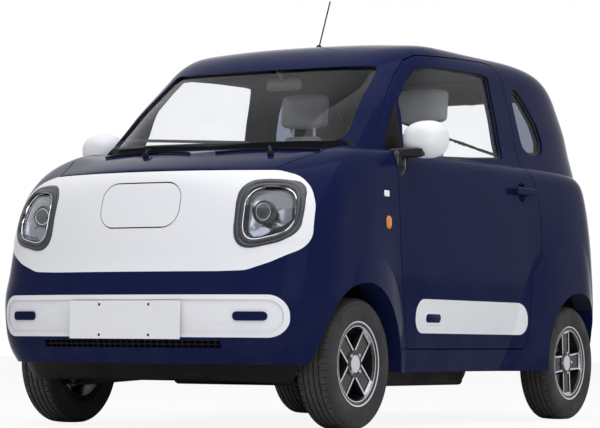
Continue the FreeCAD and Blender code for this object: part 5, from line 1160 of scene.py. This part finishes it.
class MICROCAR_OT_cabin(bpy.types.Operator):
    """Upholster the seats and fit the dashboard"""

    bl_idname = "microcar.cabin"
    bl_label = "Furnish Cabin"

    def execute(self, context):
        cap = context.scene.microcar_trim.plump_cap
        upward = Vector((0, 0, 1))
        stations = [(Vector((-0.214 + 0.482 * t, 0.0, 0.461 + 0.012 * t)),
                     0.212 * eased(t, 0.80, 2.0), (0.050 + 0.004 * t) * eased(t, 0.72, 3.0))
                    for t in steps(17)]
        cushion = self.lofted("front_cushion", stations, upward, cap, (
            (1, 0.135, 0.010), (1, -0.135, 0.010), (0, -0.06, 0.006), (0, 0.09, 0.006)))
        stations = [(self.back_place(t), self.back_width(t), self.back_depth(t))
                    for t in steps(25)]
        back = self.lofted("front_back", stations, Vector((1, 0, 0.09)).normalized(), cap, (
            (1, 0.125, 0.010), (1, -0.125, 0.010), (2, 0.72, 0.006), (2, 0.95, 0.006)))
        for side, sign in SIDES:
            place = (0.0, sign * SEAT_ASIDE, 0.0)
            self.upholstered("seat_cushion_" + side, cushion, place, "seat_" + side)
            self.upholstered("seat_back_" + side, back, place, "seat_" + side)
        seams = ((1, 0.02, 0.008), (1, -0.02, 0.008), (1, 0.31, 0.008), (1, -0.31, 0.008))
        stations = [(Vector((-0.940 + 0.410 * t, 0.0, 0.556 + 0.008 * t)),
                     0.388 * eased(t, 0.88, 1.2), 0.058 * eased(t, 0.72, 3.0))
                    for t in steps(17)]
        bench = self.lofted("bench_cushion", stations, upward, cap, seams)
        stations = [(Vector((-1.005 - 0.085 * t, 0.0, 0.515 + 0.500 * t)),
                     0.388 * eased(t, 0.9, 1.2), 0.033 * eased(t, 0.72, 3.0))
                    for t in steps(19)]
        rest = self.lofted("bench_back", stations, Vector((1, 0, 0.17)).normalized(),
                           cap * 0.7, seams)
        for name, mesh in (("bench_cushion", bench), ("bench_back", rest)):
            self.upholstered(name, mesh, (0.0, 0.0, 0.0), "rear_bench")
        self.head_rests(cap)
        self.inside_mirror()
        self.dash_fittings()
        return {"FINISHED"}

    def upholstered(self, name, mesh, place, replaced=None):
        """A padded piece in the shell, in place of a solid where one is named."""
        piece = new_object(name, mesh)
        piece.location = place
        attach(piece, "body_shell")
        if replaced:
            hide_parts(replaced)

    def head_rests(self, cap):
        """A padded rest on two posts over each front seat."""
        stations = [(Vector((-0.352 - 0.020 * t, 0.0, 1.300 + 0.150 * t)),
                     0.118 * eased(t, 0.80, 2.0), 0.034 * eased(t, 0.70, 3.0))
                    for t in steps(11)]
        mesh = self.lofted("front_rest", stations, Vector((1, 0, 0.13)).normalized(),
                           cap * 0.6, ((1, 0.080, 0.004), (1, -0.080, 0.004)))
        for side, sign in SIDES:
            self.upholstered("head_rest_" + side, mesh, (0.0, sign * SEAT_ASIDE, 0.0))
            posts = []
            for aside in (-0.055, 0.055):
                low = Vector((-0.350, sign * SEAT_ASIDE + aside, 1.240))
                posts.append(tube([low, low + Vector((-0.004, 0, 0.05)),
                                   low + Vector((-0.008, 0, 0.10))], 0.006))
            shape_piece("rest_posts_" + side, joined(posts), "Bright_Steel", "body_shell")

    def inside_mirror(self):
        """Inside mirror on its stem, and the sun visors."""
        roof = tree_of("roof_panel", "windscreen", "side_left", "side_right")
        outline = rounded_outline(0.085, 0.027, 0.024)
        rings = [[Vector((0.318 + depth, a, 1.420 + b)) for a, b in outline(inset)]
                 for inset, depth in ((0.004, 0.0), (0.0, 0.004), (0.0, 0.010), (0.004, 0.018),
                                      (0.014, 0.026), (0.024, 0.029))]
        base = Vector((0.340, 0.0, 1.425))
        foot, _, _, _ = roof.ray_cast(base, Vector((0.45, 0.0, 1.0)).normalized())
        stem = tube([base, base.lerp(foot, 0.6), foot], [0.008, 0.008, 0.018])
        form = joined([through_rings(rings), stem])
        shape_piece("inside_mirror", form, "Grey_Trim", "body_shell")
        outline = rounded_outline(0.070, 0.165, 0.030)
        for side, sign in SIDES:
            aside = sign * SEAT_ASIDE
            ceiling, _, _, _ = roof.ray_cast(Vector((0.300, aside, 1.300)), Vector((0, 0, 1)))
            rings = [[Vector((0.285 + a, aside + b, ceiling.z - 0.004 - drop - 0.10 * a))
                      for a, b in outline(inset)]
                     for inset, drop in ((0.004, 0.016), (0.0, 0.012), (0.0, 0.004),
                                         (0.004, 0.0))]
            shape_piece("sun_visor_" + side, through_rings(rings), "Grey_Trim", "body_shell")

    def dash_fittings(self):
        """Displays and air vents on the dashboard."""
        cast = skin_caster(tree_of("dashboard"), 0, sign=-1.0)
        for name, aside, level, wide, high in (
            ("centre_display", 0.0, 0.975, 0.115, 0.050),
            ("driver_display", 0.310, 0.990, 0.085, 0.034),
        ):
            outline = rounded_outline(wide, high, 0.012)

            def placed(inset, outline=outline, aside=aside, level=level):
                return shifted(outline(inset), aside, level)
            form = skin_pad(cast, placed, ((0, -0.002), (0, 0.005), (0.002, 0.007),
                                           (0.006, 0.007)), (aside, level))
            shape_piece(name, form, "Screen_Glass", "body_shell")
        vents = []
        for aside in (-0.475, 0.475):
            middle, _ = cast(aside, 0.965)
            vents.append(turned(((0.004, 0.042), (-0.006, 0.042), (-0.008, 0.040),
                                 (-0.008, 0.036), (0.002, 0.034)), middle, 36, 0))
            for level in (-0.020, -0.007, 0.006, 0.019):
                half = Vector((0, math.sqrt(0.034 ** 2 - level ** 2), 0))
                spot = middle + Vector((-0.003, 0, level))
                vents.append(tube([spot - half, spot + half], 0.0022, 8))
        shape_piece("air_vents", joined(vents), "Grey_Trim", "body_shell")

    def back_place(self, t):
        """The middle of the back at a share of its height."""
        return Vector((-0.228 - 0.085 * t - 0.038 * t * t, 0.0, 0.470 + 0.805 * t))

    def back_width(self, t):
        """Half the back's width: shoulders, then a narrower top."""
        if t < 0.70:
            return 0.196 * min(1.0, 0.86 + 1.6 * t)
        if t < 0.80:
            return 0.196 - 0.068 * math.sin((t - 0.70) / 0.10 * math.pi / 2)
        return 0.128 * (1.0 - 0.35 * max(0.0, (t - 0.93) / 0.07))

    def back_depth(self, t):
        """Half the back's thickness."""
        return (0.036 - 0.010 * t) * eased(t, 0.6, 5.0)

    def lofted(self, name, stations, out, cap, channels):
        """A stuffed form through rounded sections, swollen as cloth and sewn into channels."""
        rings = []
        for place, half_width, half_depth in stations:
            ring = []
            for step in range(LOFT_SIDES):
                turn = math.tau * step / LOFT_SIDES
                a, b = math.cos(turn), math.sin(turn)
                wide = half_width * math.copysign(abs(a) ** 0.45, a)
                deep = half_depth * math.copysign(abs(b) ** 0.55, b)
                ring.append(place + Vector((0, 1, 0)) * wide + out * deep)
            rings.append(ring)
        form = new_object(name + "_form", outward_mesh(name, through_rings(rings)))
        remesh = form.modifiers.new("Even", "REMESH")
        remesh.mode = "VOXEL"
        remesh.voxel_size = 0.011
        self.baked(form)
        self.swell(form, cap)
        self.sew(form.data, channels)
        smooth = form.modifiers.new("Smooth", "SUBSURF")
        smooth.levels = 1
        smooth.render_levels = 1
        mesh = self.baked(form)
        for face in mesh.polygons:
            face.use_smooth = True
        mesh.materials.clear()
        mesh.materials.append(FINISHES["Seat_Cloth"])
        bpy.data.objects.remove(form)
        return mesh

    def baked(self, form):
        """Applies the modifiers to the mesh."""
        graph = bpy.context.evaluated_depsgraph_get()
        mesh = bpy.data.meshes.new_from_object(form.evaluated_get(graph))
        form.modifiers.clear()
        form.data = mesh
        return mesh

    def swell(self, form, cap):
        """Cloth under pressure, no point further than the cap."""
        scene = bpy.context.scene
        start = [vertex.co.copy() for vertex in form.data.vertices]
        pressed = form.modifiers.new("Swell", "CLOTH")
        pressed.settings.use_pressure = True
        pressed.settings.uniform_pressure_force = 4.0
        pressed.settings.effector_weights.gravity = 0.0
        pressed.settings.quality = 4
        pressed.point_cache.frame_start = 1
        pressed.point_cache.frame_end = SWELL_FRAMES
        for number in range(1, SWELL_FRAMES + 1):
            scene.frame_set(number)
        graph = bpy.context.evaluated_depsgraph_get()
        puffed = form.evaluated_get(graph).to_mesh()
        places = [vertex.co.copy() for vertex in puffed.vertices]
        form.evaluated_get(graph).to_mesh_clear()
        form.modifiers.clear()
        scene.frame_set(1)
        for vertex, first, last in zip(form.data.vertices, start, places):
            move = last - first
            if move.length > cap:
                move = move * (cap / move.length)
            vertex.co = first + move

    def sew(self, mesh, channels):
        """Draws sewn channels into the cloth, each where one axis has a level."""
        for axis, level, depth in channels:
            for vertex in mesh.vertices:
                gap = abs(vertex.co[axis] - level)
                if gap < 0.03:
                    vertex.co -= vertex.normal * (depth * math.exp(-((gap / 0.009) ** 2)))


class MICROCAR_OT_trim(bpy.types.Operator):
    """Fit mirrors, wipers, door pills and the tow cover"""

    bl_idname = "microcar.trim"
    bl_label = "Fit Trim"

    def execute(self, context):
        self.wipers(context.scene.microcar_trim.wiper_length)
        for side, sign in SIDES:
            self.mirror(side, sign)
            self.pill(side, sign)
        cast = skin_caster(tree_of("front_strip"), 0, (0.0, 0.408, 0.4305))
        form = skin_pad(cast, rounded_outline(0.030, 0.030, 0.030),
                        ((0, -0.001), (0, 0.0005), (0.0015, 0.001), (0.004, 0.001)))
        shape_piece("tow_cover", form, "White_Paint", "body_shell", 30.0)
        return {"FINISHED"}

    def mirror(self, side, sign):
        """An egg-shaped cap on a black arm with its pod on the door."""
        body = "door_" + side
        middle = Vector((0.0, sign * 0.786, 1.1485))
        rings = [self.egg(middle, place, wide, high) for place, wide, high in (
            (0.4988, 0.0715, 0.0545), (0.4948, 0.0715, 0.0545), (0.4942, 0.0740, 0.0580),
            (0.4942, 0.0800, 0.0660), (0.4970, 0.0850, 0.0720), (0.5030, 0.0872, 0.0748))]
        for step in range(1, 15):
            turn = math.pi / 2 * step / 14
            size = max(math.cos(turn), 0.012) ** 0.66
            rings.append(self.egg(middle, 0.505 + 0.105 * math.sin(turn), 0.0876 * size,
                                  0.0765 * size))
        cap = shape_piece("mirror_cap_" + side, through_rings(rings), "White_Paint", body,
                          50.0)
        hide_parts("mirror_" + side)
        root_end = Vector((0.622, sign * 0.668, 1.086))
        cap_end = Vector((0.592, sign * 0.804, 1.092))
        outline = rounded_outline(0.024, 0.021, 0.009)
        rings = []
        for share in steps(9):
            place = root_end.lerp(cap_end, share)
            size = 1.0 - 0.18 * share
            inset = 0.006 if share in (0.0, 1.0) else 0.0
            rings.append([place + Vector((a * size, 0.0, b * size)) for a, b in outline(inset)])
        arm = shape_piece("mirror_arm_" + side, through_rings(rings), "Gloss_Black", body)
        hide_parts("mirror_" + side)
        root, _ = skin_caster(tree_of(body), 1, sign=sign)(0.616, 1.045)
        rings = []
        for step in range(11):
            turn = math.pi / 2 * step / 10
            size = max(math.cos(turn), 0.02)
            across = root.y + sign * (0.030 * math.sin(turn) - 0.012)
            outline = rounded_outline(0.036 * size, 0.058 * size, 0.036 * size)
            rings.append([Vector((0.616 + a, across, 1.048 + b)) for a, b in outline(0.0)])
        shape_piece("mirror_pod_" + side, through_rings(rings), "Gloss_Black", body,
                    60.0)

    def egg(self, middle, place, wide, high):
        """One upright section of the mirror cap."""
        ring = []
        for step in range(48):
            turn = math.tau * step / 48
            a, b = math.cos(turn), math.sin(turn)
            reach = wide * (1.14 if a * middle.y < 0 else 1.0)
            ring.append(Vector((place, middle.y + reach * math.copysign(abs(a) ** 0.86, a),
                                middle.z + high * math.copysign(abs(b) ** 0.86, b))))
        return ring

    def pill(self, side, sign):
        """The navy pill with its white rim on a door strip."""
        body = "door_" + side
        cast = skin_caster(tree_of("door_strip_" + side), 1, (0.318, 0.0, 0.4367), sign)
        outline = rounded_outline(0.066, 0.0175, 0.0175)
        form = skin_pad(cast, outline, ((0, -0.001), (0, 0.0006), (0.0015, 0.0012)))
        shape_piece("door_pill_" + side, form, "Navy_Paint", body)
        form = skin_ring(cast, rounded_outline(0.0765, 0.028, 0.028)(0.0), outline(0.0), (
            (0.0, -0.001), (0.1, 0.0012), (0.4, 0.0022), (0.8, 0.0020), (1.0, 0.0008),
            (1.0, -0.001)))
        shape_piece("door_pill_rim_" + side, form, "White_Paint", body, 60.0)

    def wipers(self, length):
        """Two wipers at rest along the foot of the windscreen."""
        tree = tree_of("windscreen", "cowl", "bonnet")
        for number, (start, pivot) in enumerate(((0.60, 0.40), (0.04, -0.16))):
            path = []
            for share in steps(19):
                level = 1.072 + 0.012 * math.sin(share * math.pi)
                begin = Vector((RAY_START, start - length * share, level))
                hit, _, _, _ = tree.ray_cast(begin, Vector((-1, 0, 0)))
                if hit is not None:
                    path.append(hit)
            if len(path) < 8:
                raise RuntimeError("the wiper finds no glass")
            normals = [Vector((0.6, 0, 0.8))] * len(path)
            blade = swept(path, normals, ((-0.002, 0.001), (-0.003, 0.007), (0.000, 0.010),
                                          (0.003, 0.007), (0.002, 0.001)), closed=False)
            middle = path[len(path) // 2] + Vector((0.008, 0, 0.016))
            foot, _, _, _ = tree.ray_cast(Vector((middle.x + 0.075, pivot, 2.0)),
                                          Vector((0, 0, -1)))
            foot += Vector((0, 0, 0.006))
            arm = tube([foot, foot.lerp(middle, 0.35) + Vector((0, 0, 0.012)), middle],
                       [0.008, 0.006, 0.004])
            boss = turned(((-0.006, 0.013), (0.006, 0.013), (0.011, 0.010), (0.012, 0.004)),
                          foot, 24, 2)
            shape_piece("wiper_%d" % (number + 1), joined((blade, arm, boss)), "Black_Plastic",
                        "body_shell", 35.0)


class MICROCAR_OT_stage(bpy.types.Operator):
    """Set the floor, the light and the camera"""

    bl_idname = "microcar.stage"
    bl_label = "Set Stage"

    def execute(self, context):
        setting = context.scene.microcar_stage
        scene = bpy.context.scene
        scene.view_settings.view_transform = "Standard"
        self.world(scene, setting.sky_strength)
        self.floor()
        for name, place, target, size, power in (
            ("key_lamp", (1.5, 1.0, 5.2), (0.0, 0.0, 0.6), 6.0, setting.key_power),
            ("side_lamp", (5.5, 6.0, 3.2), (0.2, 0.3, 0.7), 3.5, setting.side_power),
        ):
            data = bpy.data.lights.new(name, "AREA")
            data.shape = "SQUARE"
            data.size = size
            data.energy = power
            lamp = new_object(name, data)
            lamp.location = place
            lamp.rotation_mode = "QUATERNION"
            aim = Vector(target) - Vector(place)
            lamp.rotation_quaternion = aim.to_track_quat("-Z", "Y")
        camera = new_object("photo_camera", bpy.data.cameras.new("photo_camera"))
        camera.data.lens = setting.lens
        camera.data.sensor_width = SENSOR_WIDTH
        camera.data.clip_end = 200.0
        ahead = Vector(CAMERA_AHEAD).normalized()
        right = ahead.cross(Vector((0, 0, 1))).normalized()
        upward = right.cross(ahead)
        roll = math.radians(CAMERA_ROLL)
        rolled = right * math.cos(roll) + upward * math.sin(roll)
        raised = upward * math.cos(roll) - right * math.sin(roll)
        turn = Matrix((rolled, raised, -ahead)).transposed().to_4x4()
        camera.matrix_world = Matrix.Translation(CAMERA_PLACE) @ turn
        scene.camera = camera
        return {"FINISHED"}

    def world(self, scene, strength):
        """Even white light, and plain white where the camera, gloss or glass sees it."""
        world = bpy.data.worlds.new("studio")
        scene.world = world
        world.use_nodes = True
        wire = Wiring(world.node_tree)
        base = world.node_tree.nodes["Background"]
        base.inputs["Color"].default_value = PLAIN_WHITE
        base.inputs["Strength"].default_value = strength
        seen = wire.add("ShaderNodeBackground")
        seen.inputs["Color"].default_value = PLAIN_WHITE
        seen.inputs["Strength"].default_value = 1.0
        path = wire.add("ShaderNodeLightPath").outputs
        plain = wire.larger(path["Is Camera Ray"],
                            wire.larger(path["Is Glossy Ray"], path["Is Transmission Ray"]))
        surface = world.node_tree.nodes["World Output"].inputs["Surface"]
        wire.join(wire.blend(plain, base, seen), surface)

    def floor(self):
        """A wide pale floor that keeps a faint shadow."""
        mesh = bpy.data.meshes.new("floor")
        corners = [(-FLOOR_REACH, -FLOOR_REACH, 0), (FLOOR_REACH, -FLOOR_REACH, 0),
                   (FLOOR_REACH, FLOOR_REACH, 0), (-FLOOR_REACH, FLOOR_REACH, 0)]
        mesh.from_pydata(corners, [], [(0, 1, 2, 3)])
        material = bpy.data.materials.new("Studio_Floor")
        material.use_nodes = True
        wire = Wiring(material.node_tree)
        shader = material.node_tree.nodes["Principled BSDF"]
        shader.inputs["Base Color"].default_value = (0.86, 0.86, 0.86, 1)
        shader.inputs["Roughness"].default_value = 0.9
        shader.inputs["Specular IOR Level"].default_value = 0.0
        glow = wire.add("ShaderNodeEmission")
        glow.inputs["Strength"].default_value = 1.0
        path = wire.add("ShaderNodeLightPath").outputs
        seen = wire.larger(path["Is Camera Ray"], path["Is Transmission Ray"])
        surface = material.node_tree.nodes["Material Output"].inputs["Surface"]
        wire.join(wire.blend(wire.times(seen, FLOOR_GLOW), shader, glow), surface)
        mesh.materials.append(material)
        new_object("floor", mesh)


class MICROCAR_PT_panel(bpy.types.Panel):
    """Lists the car's settings and steps"""

    bl_label = "Microcar"
    bl_idname = "MICROCAR_PT_panel"
    bl_space_type = "VIEW_3D"
    bl_region_type = "UI"
    bl_category = "Microcar"

    def draw(self, context):
        layout = self.layout
        for name in SETTINGS:
            group = getattr(context.scene, name)
            box = layout.box()
            for key in group.bl_rna.properties.keys():
                if key not in ("rna_type", "name"):
                    box.prop(group, key)
        for operator in OPERATORS:
            layout.operator(operator.bl_idname)


SETTINGS = {
    "microcar_finish": MicrocarFinishSettings,
    "microcar_wheel": MicrocarWheelSettings,
    "microcar_trim": MicrocarTrimSettings,
    "microcar_stage": MicrocarStageSettings,
}
OPERATORS = (
    MICROCAR_OT_finishes,
    MICROCAR_OT_paint,
    MICROCAR_OT_glaze,
    MICROCAR_OT_lamps,
    MICROCAR_OT_wheels,
    MICROCAR_OT_cabin,
    MICROCAR_OT_trim,
    MICROCAR_OT_stage,
)


def register():
    """Registers settings, operators and panel."""
    for name, group in SETTINGS.items():
        bpy.utils.register_class(group)
        setattr(bpy.types.Scene, name, PointerProperty(type=group))
    for operator in OPERATORS:
        bpy.utils.register_class(operator)
    bpy.utils.register_class(MICROCAR_PT_panel)


def unregister():
    """Takes panel, operators and settings out again."""
    bpy.utils.unregister_class(MICROCAR_PT_panel)
    for operator in reversed(OPERATORS):
        bpy.utils.unregister_class(operator)
    for name, group in SETTINGS.items():
        delattr(bpy.types.Scene, name)
        bpy.utils.unregister_class(group)


def main():
    """Dresses the car and sets the stage."""
    register()
    for operator in OPERATORS:
        area, name = operator.bl_idname.split(".")
        getattr(getattr(bpy.ops, area), name)()


if __name__ == "__main__":
    main()
